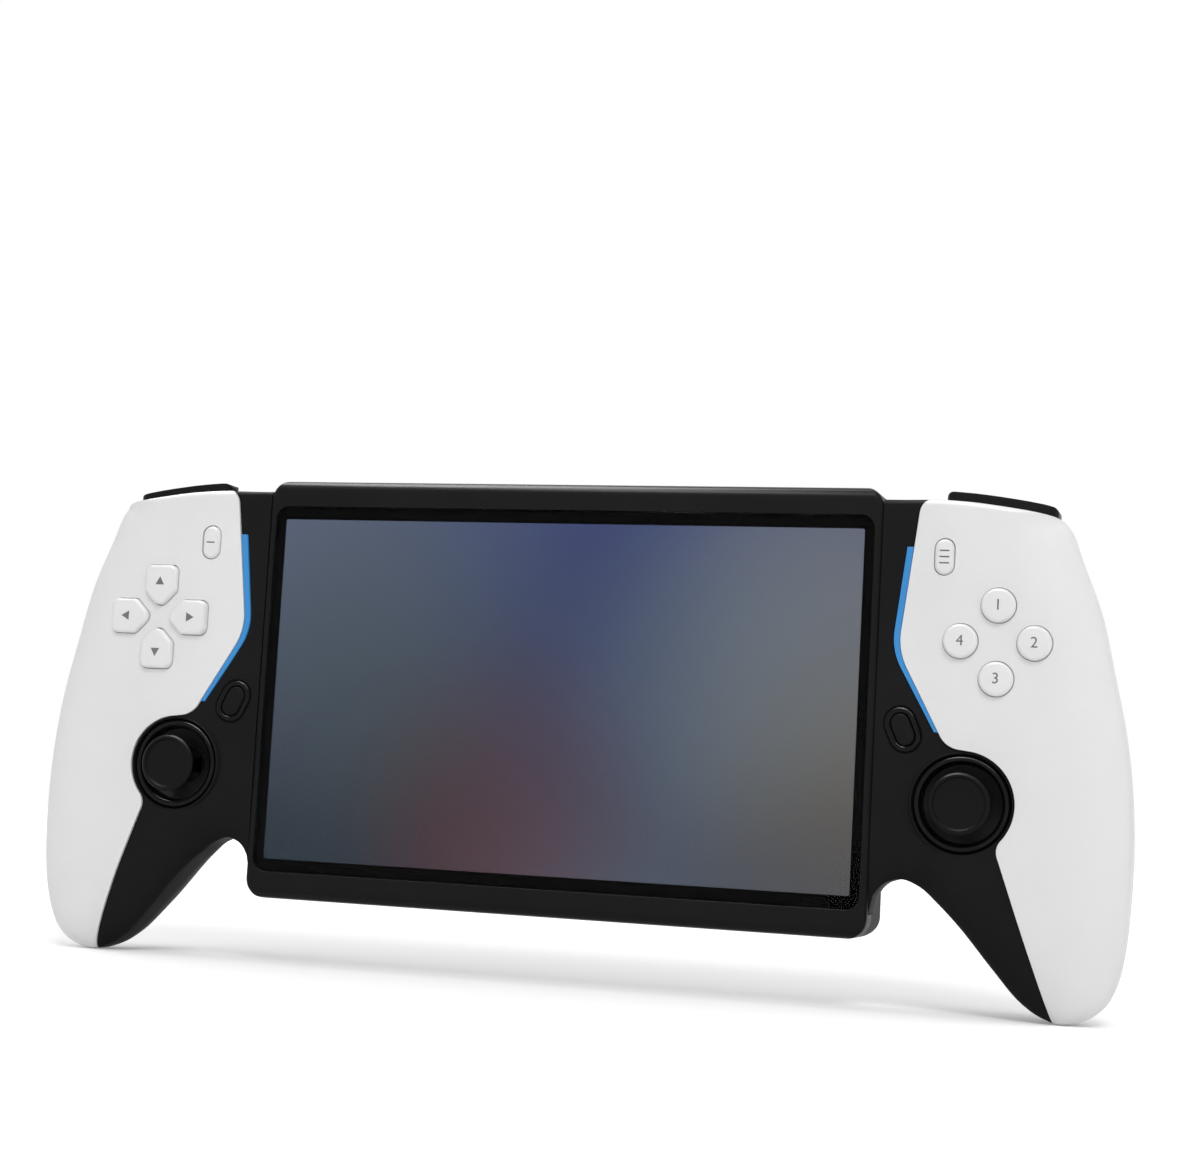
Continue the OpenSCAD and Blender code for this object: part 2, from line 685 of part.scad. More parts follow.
// Sockets and keys along the upper edge of the board
module usb_socket() {
    color(metal) placed() translate([0, board_back + usb_t / 2, socket_z - usb_l]) {
        difference() {
            linear_extrude(usb_l) slot2d(usb_w, usb_t);
            translate([0, 0, socket_floor]) linear_extrude(usb_l)
                slot2d(usb_w - 2 * usb_shell, usb_t - 2 * usb_shell);
        }
        translate([-tongue_w / 2, -tongue_t / 2, socket_floor / 2]) cube([tongue_w, tongue_t, usb_l - 2]);
    }
}
module headphone_socket() {
    body_l = jack_l - tablet_wall - 0.5;
    color(dark) placed() translate([jack_x, jack_axis_d, socket_z - jack_l]) difference() {
        union() {
            cylinder(r = jack_collar_r, h = jack_l);
            translate([-jack_body_w / 2, board_back - jack_axis_d, 0])
                cube([jack_body_w, jack_axis_d - board_back + jack_collar_r, body_l]);
        }
        translate([0, 0, socket_floor]) cylinder(r = jack_d / 2, h = jack_l);
    }
}
module card_socket() {
    color(metal) placed() translate([card_x, board_back, top_z - tablet_wall - card_l - 0.2]) difference() {
        translate([-card_w / 2 - 1, 0, 0]) cube([card_w + 2, card_t, card_l]);
        translate([-card_w / 2, card_t / 4, socket_floor]) cube([card_w, card_t / 2, card_l]);
    }
}
module edge_key(x, w) {
    under = top_z - tablet_wall - edge_flange - edge_stroke;
    translate([x, edge_d, under]) {
        linear_extrude(top_z + edge_proud - under) slot2d(w, edge_t);
        linear_extrude(edge_flange) slot2d(w + 2, edge_t + 1);
    }
}
module power_button() { color(dark) placed() edge_key(-power_x, power_w); }
module volume_rocker() { color(dark) placed() edge_key(-volume_x, volume_w); }

// Screws of the wings, let in from behind, and of the tablet's back cover
function wing_post(p) = [side_x + p[0], p[1]];
module screw(p, d0, seat) {
    rod(p, screw_r, d0, seat + screw_head_t / 2);
    rod(p, screw_head_r, seat, seat + screw_head_t);
}
module case_screws() {
    color(metal) placed() {
        for (s = [-1, 1]) on_side(s) for (p = concat(dark_screws, white_screws))
            screw(wing_post(p), screw_tip, screw_seat);
        for (p = tablet_screws()) difference() {
            screw(p, chassis_back + 1.2, tablet_seat);
            rod(p, screw_socket_r, tablet_seat + screw_head_t / 2, tablet_t);
        }
    }
}
module front_post(p) {
    intersection() { wing_solid(wing_step); rod(p, front_post_r, -far, parting); }
}
module post_bore(p) { rod(p, screw_r + seam, screw_tip - 0.4, parting + over); }
module rear_post(p) {
    intersection() { wing_solid(0); rod(p, rear_post_r, parting, far); }
}
module rear_bore(p) {
    rod(p, screw_r + play, parting - over, screw_seat);
    rod(p, screw_head_r + play, screw_seat, far);
}

// Wings

module wing_front(s) {
    color(dark) placed() on_side(s) as_mesh() difference() {
        union() {
            intersection() { wing_shell(wing_step); in_front(); }
            intersection() { wing_solid(wing_step); rod([stick_cx, stick_z], well_r, -far, well_bottom); }
            translate([stick_cx, 0, stick_z]) spun() polygon([
                [ring_r, collar_top], [collar_r, collar_top],
                [collar_foot_r, shell_wall], [ring_r, shell_wall]]);
            intersection() {
                wing_solid(wing_step - function_lip);
                front_prism(-far, shell_wall) function2d(key_gap + function_lip_w);
            }
            for (p = dark_screws) front_post(wing_post(p));
        }
        front_prism(-far, far) offset(delta = seam / 2) white_front2d();
        front_prism(-far, key_board_d) strip2d(seam);
        rod([stick_cx, stick_z], ring_hole_r, -far, far);
        rod([stick_cx, stick_z], ring_r + seam, -far, ring_seat);
        front_prism(-far, key_board_d) function2d(key_gap);
        for (p = dark_screws) post_bore(wing_post(p));
    }
}
module wing_rear(s) {
    color(dark) placed() on_side(s) as_mesh() difference() {
        union() {
            intersection() { wing_shell(wing_step); behind(); }
            for (p = dark_screws) rear_post(wing_post(p));
        }
        front_prism(-far, far) offset(delta = seam / 2) white_back2d();
        for (p = dark_screws) rear_bore(wing_post(p));
    }
}

// The bumper's slot in the upper edge and the opening behind it for the trigger
module bumper_slot() {
    translate([bumper_in - bumper_gap, bumper_front - bumper_gap, bumper_slot_z])
        cube([bumper_l + 2 * bumper_gap, bumper_t + 2 * bumper_gap, far]);
}
module trigger_slot() {
    translate([trigger_in - trigger_gap, bumper_back, trigger_z - trigger_room])
        cube([trigger_w + 2 * trigger_gap, far, far]);
}
module front_cover(s) {
    color(white) placed() on_side(s) as_mesh() difference() {
        union() {
            intersection() {
                wing_shell(0);
                in_front();
                front_prism(-far, far) offset(delta = -seam / 2) white_front2d();
            }
            for (p = white_screws) front_post(wing_post(p));
            for (p = cover_posts) intersection() {
                wing_solid(wing_step);
                rod(wing_post(p), cover_post_r, -far, key_board_d);
            }
        }
        for (i = [0:3]) front_prism(-far, key_board_d)
            if (s > 0) action2d(i, key_gap); else dpad2d(i, key_gap);
        front_prism(-far, key_board_d) menu2d(key_gap);
        bumper_slot();
        for (p = white_screws) post_bore(wing_post(p));
    }
}
module rear_cover(s) {
    color(white) placed() on_side(s) as_mesh() difference() {
        union() {
            intersection() {
                wing_shell(0);
                behind();
                front_prism(-far, far) offset(delta = -seam / 2) white_back2d();
            }
            for (p = white_screws) rear_post(wing_post(p));
        }
        bumper_slot();
        trigger_slot();
        for (p = white_screws) rear_bore(wing_post(p));
    }
}
module light_strip(s) {
    color(light_blue) placed() on_side(s) as_mesh() intersection() {
        wing_solid(wing_step / 2);
        front_prism(-far, shell_wall + wing_step + 0.4) strip2d(0);
    }
}

// Keys and what they press on

module key_stack(face, flange) {
    front_prism(face, key_bottom) children(0);
    front_prism(flange, flange + flange_t) children(1);
}
module action_button(i) {
    color(white) placed() key_stack(-crown - key_proud, flange_d) {
        action2d(i);
        action2d(i, flange_w);
    }
}
module dpad_key(i) {
    color(white) placed() on_side(-1) key_stack(-crown - key_proud, flange_d) {
        dpad2d(i);
        dpad2d(i, flange_w);
    }
}
module menu_key(s) {
    color(white) placed() on_side(s) key_stack(-crown - menu_proud, menu_flange_d) {
        menu2d();
        menu2d(flange_w);
    }
}
module function_key(s) {
    color(dark) placed() on_side(s) as_mesh() {
        intersection() {
            wing_solid(wing_step - function_proud);
            front_prism(-far, function_bottom) function2d();
        }
        front_prism(function_bottom - function_flange_t, function_bottom) function2d(function_flange_w);
    }
}
module button_board(s) {
    color(board_green) placed() on_side(s) front_prism(key_board_d, key_board_back) polygon(rounded([
        [key_board_in, key_board_top, 2], [key_board_out - 3.5, key_board_top, 2], [key_board_out, 8, 6],
        [key_board_out, key_board_low, 2], [key_board_in, key_board_low, 2]]));
}
module key_membrane(s) {
    color([0.5, 0.5, 0.52]) placed() on_side(s) front_prism(key_board_d - membrane_t, key_board_d) {
        translate([pad_cx, pad_z]) plate2d(2 * dpad_reach, 2 * dpad_reach, 8);
        menu2d(0.8);
        function2d(0.4);
    }
}

// Thumb sticks

module stick_place(s) {
    placed() on_side(s) translate([stick_cx, 0, stick_z]) children();
}
// Turned shapes are drawn as [radius, depth] and spun about the stick's axis
module spun() { rotate([-90, 0, 0]) rotate_extrude() children(); }
module stick_ring(s) {
    mid = (ring_r + ring_hole_r) / 2;
    half = (ring_r - ring_hole_r) / 2;
    color(dark) stick_place(s) spun() {
        translate([ring_hole_r, ring_top + half]) square([2 * half, ring_seat - ring_top - half]);
        translate([mid, ring_top + half]) circle(half);
    }
}
module stick_module(s) {
    inner = module_w - 2 * module_wall;
    color(dark) stick_place(s) difference() {
        front_prism(well_bottom, module_back) square(module_w, center = true);
        front_prism(well_bottom + module_lid, module_back - module_wall) square(inner, center = true);
        front_prism(well_bottom - over, well_bottom + module_lid + over) circle(module_mouth_r);
        translate([-module_w, stick_pivot, 0]) rotate([0, 90, 0])
            cylinder(r = axle_r + play, h = 2 * module_w);
    }
}
module stick_gimbal(s) {
    slot_half = stem_r + 1.1;
    color(dark) stick_place(s) translate([0, stick_pivot, 0]) difference() {
        union() {
            translate([-module_w / 2, 0, 0]) rotate([0, 90, 0]) cylinder(r = axle_r, h = module_w);
            cube([gimbal_w, gimbal_d, gimbal_h], center = true);
        }
        cube([2 * slot_half, 2 * gimbal_d, 2 * (stem_r + 0.3)], center = true);
        cylinder(r = cross_pin_r + play, h = 2 * gimbal_h, center = true);
    }
}
module stick_stem(s) {
    color(metal) stick_place(s) {
        rod([0, 0], stem_r, stem_front, stick_pivot + 2.2);
        translate([0, stick_pivot, -gimbal_h / 2]) cylinder(r = cross_pin_r, h = gimbal_h);
    }
}
module stick_cap(s) {
    r = stick_cap_d / 2;
    neck_end = stick_top + 6.6;
    color(dark) stick_place(s) difference() {
        spun() polygon(rounded([
            [0, stick_top + 0.6, 0], [r - 2.2, stick_top + 0.45, 0.6], [r - 1.4, stick_top, 0.6],
            [r, stick_top + 0.3, 0.4], [r, stick_top + cap_rim_t, 0.3],
            [r - cap_rim_w, stick_top + cap_rim_t + 0.8, 2], [cap_neck_r, stick_top + cap_rim_t + 3.2, 1.2],
            [cap_neck_r, neck_end, 0], [0, neck_end, 0]]));
        rod([0, 0], stem_r + play, stem_front - click_gap, far);
    }
}

// Shoulder buttons

module bumper(s) {
    color(dark) placed() on_side(s) difference() {
        union() {
            front_prism(bumper_front, bumper_back) polygon(rounded(concat(
                [[bumper_in, wing_top - bumper_heel, 0.8]],
                [for (i = [0:8]) let (x = bumper_in + bumper_l * i / 8)
                    [x, edge_z(top_edge, outer_x - x) + bumper_proud, i == 0 || i == 8 ? 0.6 : 0]],
                [[bumper_out, wing_top - bumper_toe, 0.8]])));
            rod(bumper_pivot, bumper_eye_r, bumper_front, bumper_back);
        }
        rod(bumper_pivot, pin_r + play, bumper_front - over, bumper_back + over);
    }
}
// Side view of the trigger about its pivot: a hollowed finger face that hooks down behind the wing
module trigger2d() {
    polygon(rounded([
        [-2.6, 1.6, 1], [0.8, 6.6, 2], [7.5, 6.4, 4], [12.6, 1.5, 5], [14.4, -6, 8],
        [15, -13, 1.4], [12.6, -14.8, 1.2], [1.6, -12, 1], [-1.8, -2.6, 1]]));
}
module trigger(s) {
    color(dark) placed() on_side(s) difference() {
        union() {
            side_prism(trigger_mid - hub_w / 2, trigger_mid + hub_w / 2)
                translate([trigger_d, trigger_z]) trigger2d();
            intersection() {
                side_prism(trigger_mid - trigger_w / 2, trigger_mid + trigger_w / 2)
                    translate([trigger_d, trigger_z]) trigger2d();
                translate([trigger_mid, trigger_d + hub_r, 0]) linear_extrude(far)
                    polygon(rounded([[-trigger_w / 2, 0, 0], [trigger_w / 2, 0, 0],
                        [trigger_w / 2 - 0.6, 13, 5], [-trigger_w / 2 + 0.6, 13, 5]]));
            }
        }
        translate([trigger_mid - trigger_w, trigger_d, trigger_z]) rotate([0, 90, 0])
            cylinder(r = pin_r + play, h = 2 * trigger_w);
    }
}
module shoulder_bracket(s) {
    tab_h = bumper_pivot[1] + bracket_tab_w / 2 - bracket_top;
    color(metal) placed() on_side(s) difference() {
        union() {
            translate([trigger_in, bracket_d, bracket_top - bracket_h])
                cube([trigger_w, bracket_t, bracket_h]);
            translate([trigger_in, bracket_d, bracket_top - over])
                cube([bracket_tab_w, bracket_t, tab_h + over]);
            for (x = [trigger_in, trigger_in + trigger_w - ear_t])
                side_prism(x, x + ear_t) {
                    translate([bracket_d, trigger_z - ear_r]) square([trigger_d - bracket_d, 2 * ear_r]);
                    translate([trigger_d, trigger_z]) circle(ear_r);
                }
            for (e = [-1, 1])
                rod([trigger_mid + e * bracket_post_x, trigger_z - bracket_post_drop], bracket_post_r,
                    key_board_back, bracket_d + bracket_t / 2);
        }
        rod(bumper_pivot, pin_r + pin_fit, bracket_d - over, bracket_back + over);
        translate([trigger_in - over, trigger_d, trigger_z]) rotate([0, 90, 0])
            cylinder(r = pin_r + pin_fit, h = trigger_w + 2 * over);
    }
}
module shoulder_pins(s) {
    color(metal) placed() on_side(s) {
        rod(bumper_pivot, pin_r, bumper_front + 0.6, bracket_back);
        translate([trigger_in, trigger_d, trigger_z]) rotate([0, 90, 0]) cylinder(r = pin_r, h = trigger_w);
    }
}

front_frame();
back_cover();
screen_glass();
display_panel();
chassis_plate();
main_board();
heat_spreader();
battery();
speaker(-1);  // left_speaker
speaker(1);  // right_speaker
usb_socket();
headphone_socket();
card_socket();
power_button();
volume_rocker();
case_screws();
wing_front(-1);  // left_wing_front
wing_front(1);  // right_wing_front
wing_rear(-1);  // left_wing_rear
wing_rear(1);  // right_wing_rear
front_cover(-1);  // left_front_cover
front_cover(1);  // right_front_cover
rear_cover(-1);  // left_rear_cover
rear_cover(1);  // right_rear_cover
light_strip(-1);  // left_light_strip
light_strip(1);  // right_light_strip
button_board(-1);  // left_button_board
button_board(1);  // right_button_board
key_membrane(-1);  // left_key_membrane
key_membrane(1);  // right_key_membrane
menu_key(-1);  // left_menu_key
menu_key(1);  // right_menu_key
function_key(-1);  // left_function_key
function_key(1);  // right_function_key
dpad_key(0);  // dpad_up
dpad_key(1);  // dpad_left
dpad_key(2);  // dpad_down
dpad_key(3);  // dpad_right
action_button(0);  // action_top
action_button(1);  // action_right
action_button(2);  // action_bottom
action_button(3);  // action_left
stick_ring(-1);  // left_stick_ring
stick_ring(1);  // right_stick_ring
stick_module(-1);  // left_stick_module
stick_module(1);  // right_stick_module
stick_gimbal(-1);  // left_stick_gimbal
stick_gimbal(1);  // right_stick_gimbal
stick_stem(-1);  // left_stick_stem
stick_stem(1);  // right_stick_stem
stick_cap(-1);  // left_stick_cap
stick_cap(1);  // right_stick_cap
bumper(-1);  // left_bumper
bumper(1);  // right_bumper
trigger(-1);  // left_trigger
trigger(1);  // right_trigger
shoulder_bracket(-1);  // left_shoulder_bracket
shoulder_bracket(1);  // right_shoulder_bracket
shoulder_pins(-1);  // left_shoulder_pins
shoulder_pins(1);  // right_shoulder_pins
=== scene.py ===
import math

import bmesh
import bpy
import numpy as np
from mathutils import Matrix, Vector


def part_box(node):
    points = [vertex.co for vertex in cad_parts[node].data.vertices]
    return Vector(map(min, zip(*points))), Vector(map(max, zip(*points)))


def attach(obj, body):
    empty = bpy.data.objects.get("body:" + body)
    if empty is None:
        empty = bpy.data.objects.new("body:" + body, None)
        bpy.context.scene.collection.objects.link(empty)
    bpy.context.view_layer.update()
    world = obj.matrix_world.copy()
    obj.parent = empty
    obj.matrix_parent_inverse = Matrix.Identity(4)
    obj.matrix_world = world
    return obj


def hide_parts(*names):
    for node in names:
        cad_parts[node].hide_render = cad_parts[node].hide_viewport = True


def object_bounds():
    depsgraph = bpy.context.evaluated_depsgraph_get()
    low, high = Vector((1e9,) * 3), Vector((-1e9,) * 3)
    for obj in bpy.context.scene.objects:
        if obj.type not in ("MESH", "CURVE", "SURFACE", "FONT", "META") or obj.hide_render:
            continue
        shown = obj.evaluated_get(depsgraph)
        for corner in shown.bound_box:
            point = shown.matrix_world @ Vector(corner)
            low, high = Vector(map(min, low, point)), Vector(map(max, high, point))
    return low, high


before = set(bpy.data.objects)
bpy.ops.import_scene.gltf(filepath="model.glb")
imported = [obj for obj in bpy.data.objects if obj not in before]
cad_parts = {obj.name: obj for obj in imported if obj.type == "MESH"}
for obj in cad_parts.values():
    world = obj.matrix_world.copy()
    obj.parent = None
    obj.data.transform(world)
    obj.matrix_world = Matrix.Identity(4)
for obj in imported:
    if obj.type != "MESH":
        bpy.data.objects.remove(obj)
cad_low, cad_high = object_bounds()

# Front frame of the tablet: a bezel moulded in satin black plastic, with rounded upper and lower edges.
# The glass lies flush in its recess, the display behind it, and the back cover is screwed on from behind.
MM = 0.001
glass_low, glass_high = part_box("screen_glass")
frame_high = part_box("front_frame")[1]
cover_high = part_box("back_cover")[1]
screen_z = (glass_low.z + glass_high.z) / 2
side_x = frame_high.x / MM
top_z = (frame_high.z - screen_z) / MM
glass_w = (glass_high.x - glass_low.x) / MM
glass_h = (glass_high.z - glass_low.z) / MM
glass_t = (glass_high.y - glass_low.y) / MM
frame_back = (frame_high.y - glass_low.y) / MM
tablet_t = (cover_high.y - glass_low.y) / MM
tablet_corner_r = 5
tablet_front_r = 3
tablet_back_r = 5
frame_edge_r = 1.5
frame_wall = 2.2
glass_corner_r = 3.5
panel_corner_r = 0.8
panel_low, panel_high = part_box("display_panel")
panel_w = (panel_high.x - panel_low.x) / MM
panel_h = (panel_high.z - panel_low.z) / MM
panel_back = (panel_high.y - glass_low.y) / MM
seam = 0.1
over = 1
far = 60


def at(x, d, z):
    """A point of the model, from millimetres right of, behind and above the middle of the screen."""
    return Vector((x * MM, glass_low.y + d * MM, screen_z + z * MM))


def corner_arc(before, corner, after, radius, steps):
    """Points of the arc that rounds one corner of an outline."""
    u = (before - corner).normalized()
    w = (after - corner).normalized()
    half = u.angle(w) / 2
    middle = corner + (u + w).normalized() * radius / math.sin(half)
    start = corner + u * radius / math.tan(half) - middle
    sweep = math.copysign(math.pi - 2 * half, -u.cross(w))
    return [middle + Matrix.Rotation(sweep * i / steps, 2) @ start for i in range(steps + 1)]


def rounded(path, steps=10):
    """An outline from corners given as [x, z, radius]."""
    points = []
    corners = [Vector(p[:2]) for p in path]
    for i, (x, z, radius) in enumerate(path):
        after = corners[(i + 1) % len(path)]
        points += corner_arc(corners[i - 1], corners[i], after, radius, steps) if radius else [corners[i]]
    return points


def rectangle(w, h, radius, steps=10):
    return rounded([[-w / 2, -h / 2, radius], [w / 2, -h / 2, radius], [w / 2, h / 2, radius],
                    [-w / 2, h / 2, radius]], steps)


def circle(x, z, radius, steps=72):
    turns = [2 * math.pi * i / steps for i in range(steps)]
    return [Vector((x + radius * math.cos(a), z + radius * math.sin(a))) for a in turns]


def face_out():
    """Turns the faces of the piece being edited outwards, and ends the editing."""
    bpy.ops.mesh.select_all(action="SELECT")
    bpy.ops.mesh.normals_make_consistent(inside=False)
    bpy.ops.object.mode_set(mode="OBJECT")


def prism(name, corners, push):
    """A closed solid: a flat face with these corners, extruded by push."""
    bpy.ops.object.select_all(action="DESELECT")
    bpy.ops.mesh.primitive_circle_add(vertices=len(corners), fill_type="NGON")
    piece = bpy.context.object
    piece.name = name
    for vertex, corner in zip(piece.data.vertices, corners):
        vertex.co = corner
    bpy.ops.object.mode_set(mode="EDIT")
    bpy.ops.mesh.select_all(action="SELECT")
    bpy.ops.mesh.extrude_region_move(TRANSFORM_OT_translate={"value": push})
    face_out()
    return piece


def plate(name, outline, front, back):
    """A flat piece of an outline seen from the front, between two depths."""
    return prism(name, [at(p[0], front, p[1]) for p in outline], (0, (back - front) * MM, 0))


def side_plate(name, outline, x0, x1):
    """A piece of an outline seen from the side, as [depth, height], between two widths."""
    return prism(name, [at(x0, p[0], p[1]) for p in outline], ((x1 - x0) * MM, 0, 0))


def cut(piece, cutter, operation="DIFFERENCE"):
    """Cuts a piece with another one, which is used up."""
    modifier = piece.modifiers.new("cut", "BOOLEAN")
    modifier.operation = operation
    modifier.object = cutter
    modifier.solver = "EXACT"
    bpy.context.view_layer.objects.active = piece
    bpy.ops.object.modifier_apply(modifier="cut")
    bpy.data.objects.remove(cutter)


def round_edges(piece, radius, steps, chosen):
    """Rounds the edges of a piece for which chosen(edge) holds."""
    bpy.ops.object.select_all(action="DESELECT")
    bpy.context.view_layer.objects.active = piece
    bpy.ops.object.mode_set(mode="EDIT")
    bpy.ops.mesh.select_mode(type="EDGE")
    bpy.ops.mesh.select_all(action="DESELECT")
    shape = bmesh.from_edit_mesh(piece.data)
    for edge in shape.edges:
        edge.select_set(chosen(edge))
    bmesh.update_edit_mesh(piece.data)
    bpy.ops.mesh.bevel(offset=radius * MM, segments=steps, affect="EDGES", clamp_overlap=True)
    bpy.ops.object.mode_set(mode="OBJECT")


def at_depth(d):
    """Picks the edges that lie at one depth."""
    return lambda edge: all(abs(v.co.y - at(0, d, 0).y) < 0.01 * MM for v in edge.verts)


def shade(piece, angle=32):
    """Smooth shading, with creases where faces meet at more than this angle."""
    bpy.ops.object.select_all(action="DESELECT")
    piece.select_set(True)
    bpy.context.view_layer.objects.active = piece
    bpy.ops.object.shade_smooth_by_angle(angle=math.radians(angle))


def finished(piece, material, slot, body, *nodes):
    """Shades and dresses a piece, and ties it to its body and to the nodes that it stands for."""
    shade(piece)
    piece.data.materials.clear()
    piece.data.materials.append(material)
    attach(piece, body)
    if nodes:
        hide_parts(*nodes)


def new_material(name):
    """A plain material, with its nodes, its links and its shader."""
    material = bpy.data.materials.new(name)
    material.use_nodes = True
    tree = material.node_tree
    return material, tree.nodes, tree.links, tree.nodes["Principled BSDF"]


def plastic(name, dark, light, roughness, grain, relief, specular=0.5):
    """Moulded plastic: a colour that drifts a little, a grain in gloss and relief, softened edges."""
    material, nodes, links, shader = new_material(name)
    place = nodes.new("ShaderNodeTexCoord")
    drift = nodes.new("ShaderNodeTexNoise")
    drift.inputs["Scale"].default_value = 45
    drift.inputs["Detail"].default_value = 4
    colour = nodes.new("ShaderNodeValToRGB")
    colour.color_ramp.elements[0].position = 0.3
    colour.color_ramp.elements[0].color = (*dark, 1)
    colour.color_ramp.elements[1].position = 0.7
    colour.color_ramp.elements[1].color = (*light, 1)
    speckle = nodes.new("ShaderNodeTexNoise")
    speckle.inputs["Scale"].default_value = 1 / (grain * MM)
    speckle.inputs["Detail"].default_value = 3
    gloss = nodes.new("ShaderNodeMapRange")
    gloss.inputs["To Min"].default_value = roughness - 0.06
    gloss.inputs["To Max"].default_value = roughness + 0.06
    rounding = nodes.new("ShaderNodeBevel")
    rounding.samples = 4
    rounding.inputs["Radius"].default_value = 0.25 * MM
    bump = nodes.new("ShaderNodeBump")
    bump.inputs["Strength"].default_value = 0.35
    bump.inputs["Distance"].default_value = relief * MM
    shader.inputs["Specular IOR Level"].default_value = specular
    links.new(place.outputs["Object"], drift.inputs["Vector"])
    links.new(place.outputs["Object"], speckle.inputs["Vector"])
    links.new(drift.outputs["Fac"], colour.inputs["Fac"])
    links.new(colour.outputs["Color"], shader.inputs["Base Color"])
    links.new(speckle.outputs["Fac"], gloss.inputs["Value"])
    links.new(gloss.outputs["Result"], shader.inputs["Roughness"])
    links.new(speckle.outputs["Fac"], bump.inputs["Height"])
    links.new(rounding.outputs["Normal"], bump.inputs["Normal"])
    links.new(bump.outputs["Normal"], shader.inputs["Normal"])
    return material


satin_black = plastic("satin_black", (0.009, 0.009, 0.0096), (0.0108, 0.0108, 0.0114), 0.32, 0.22, 0.02,
                      specular=0.048)
tablet_profile = rounded([
    [0, -top_z, tablet_front_r], [tablet_t, -top_z, tablet_back_r],
    [tablet_t, top_z, tablet_back_r], [0, top_z, tablet_front_r]], 12)
front_frame = plate("front_frame_shell", rectangle(2 * side_x, 2 * top_z, tablet_corner_r), 0, frame_back)
round_edges(front_frame, frame_edge_r, 6, at_depth(0))
cut(front_frame, side_plate("profile", tablet_profile, -side_x - over, side_x + over), "INTERSECT")
recess = rectangle(glass_w + 2 * seam, glass_h + 2 * seam, glass_corner_r + seam)
cut(front_frame, plate("glass_recess", recess, -over, glass_t))
opening = rectangle(panel_w + 3 * seam, panel_h + 3 * seam, panel_corner_r)
cut(front_frame, plate("panel_opening", opening, -over, frame_back))
cavity = rectangle(2 * (side_x - frame_wall), 2 * (top_z - frame_wall), tablet_corner_r - frame_wall)
cut(front_frame, plate("frame_cavity", cavity, panel_back, frame_back + over))
finished(front_frame, satin_black, "dark_shell", "console", "front_frame")

# Cover glass: one sheet of clear glass, ground round at its edge, with an anti-reflection coat.
# A border is printed black on its back, and it is glued flush into the frame.
border_t = 0.06
ink_gap = 0.02
picture_edge = 1
picture_corner_r = 0.5
glass_edge_r = 0.3


def glass_material():
    material, _, _, shader = new_material("cover_glass")
    shader.inputs["Base Color"].default_value = (0, 0, 0, 1)
    shader.inputs["Alpha"].default_value = 0.06
    shader.inputs["Roughness"].default_value = 0.02
    shader.inputs["Specular IOR Level"].default_value = 0.35
    return material


glass_outline = rectangle(glass_w, glass_h, glass_corner_r)
cover_glass = plate("cover_glass", glass_outline, 0, glass_t - border_t - ink_gap)
round_edges(cover_glass, glass_edge_r, 3, at_depth(0))
finished(cover_glass, glass_material(), "screen_glass", "console", "screen_glass")
border_ink = plastic("border_ink", (0.0006, 0.0006, 0.0006), (0.001, 0.001, 0.001), 0.5, 0.3, 0.002, 0.01)
glass_border = plate("glass_border", glass_outline, glass_t - border_t, glass_t - ink_gap)
picture = rectangle(panel_w - 2 * picture_edge, panel_h - 2 * picture_edge, picture_corner_r)
cut(glass_border, plate("picture_window", picture, -over, far))
finished(glass_border, border_ink, "screen_glass", "console")


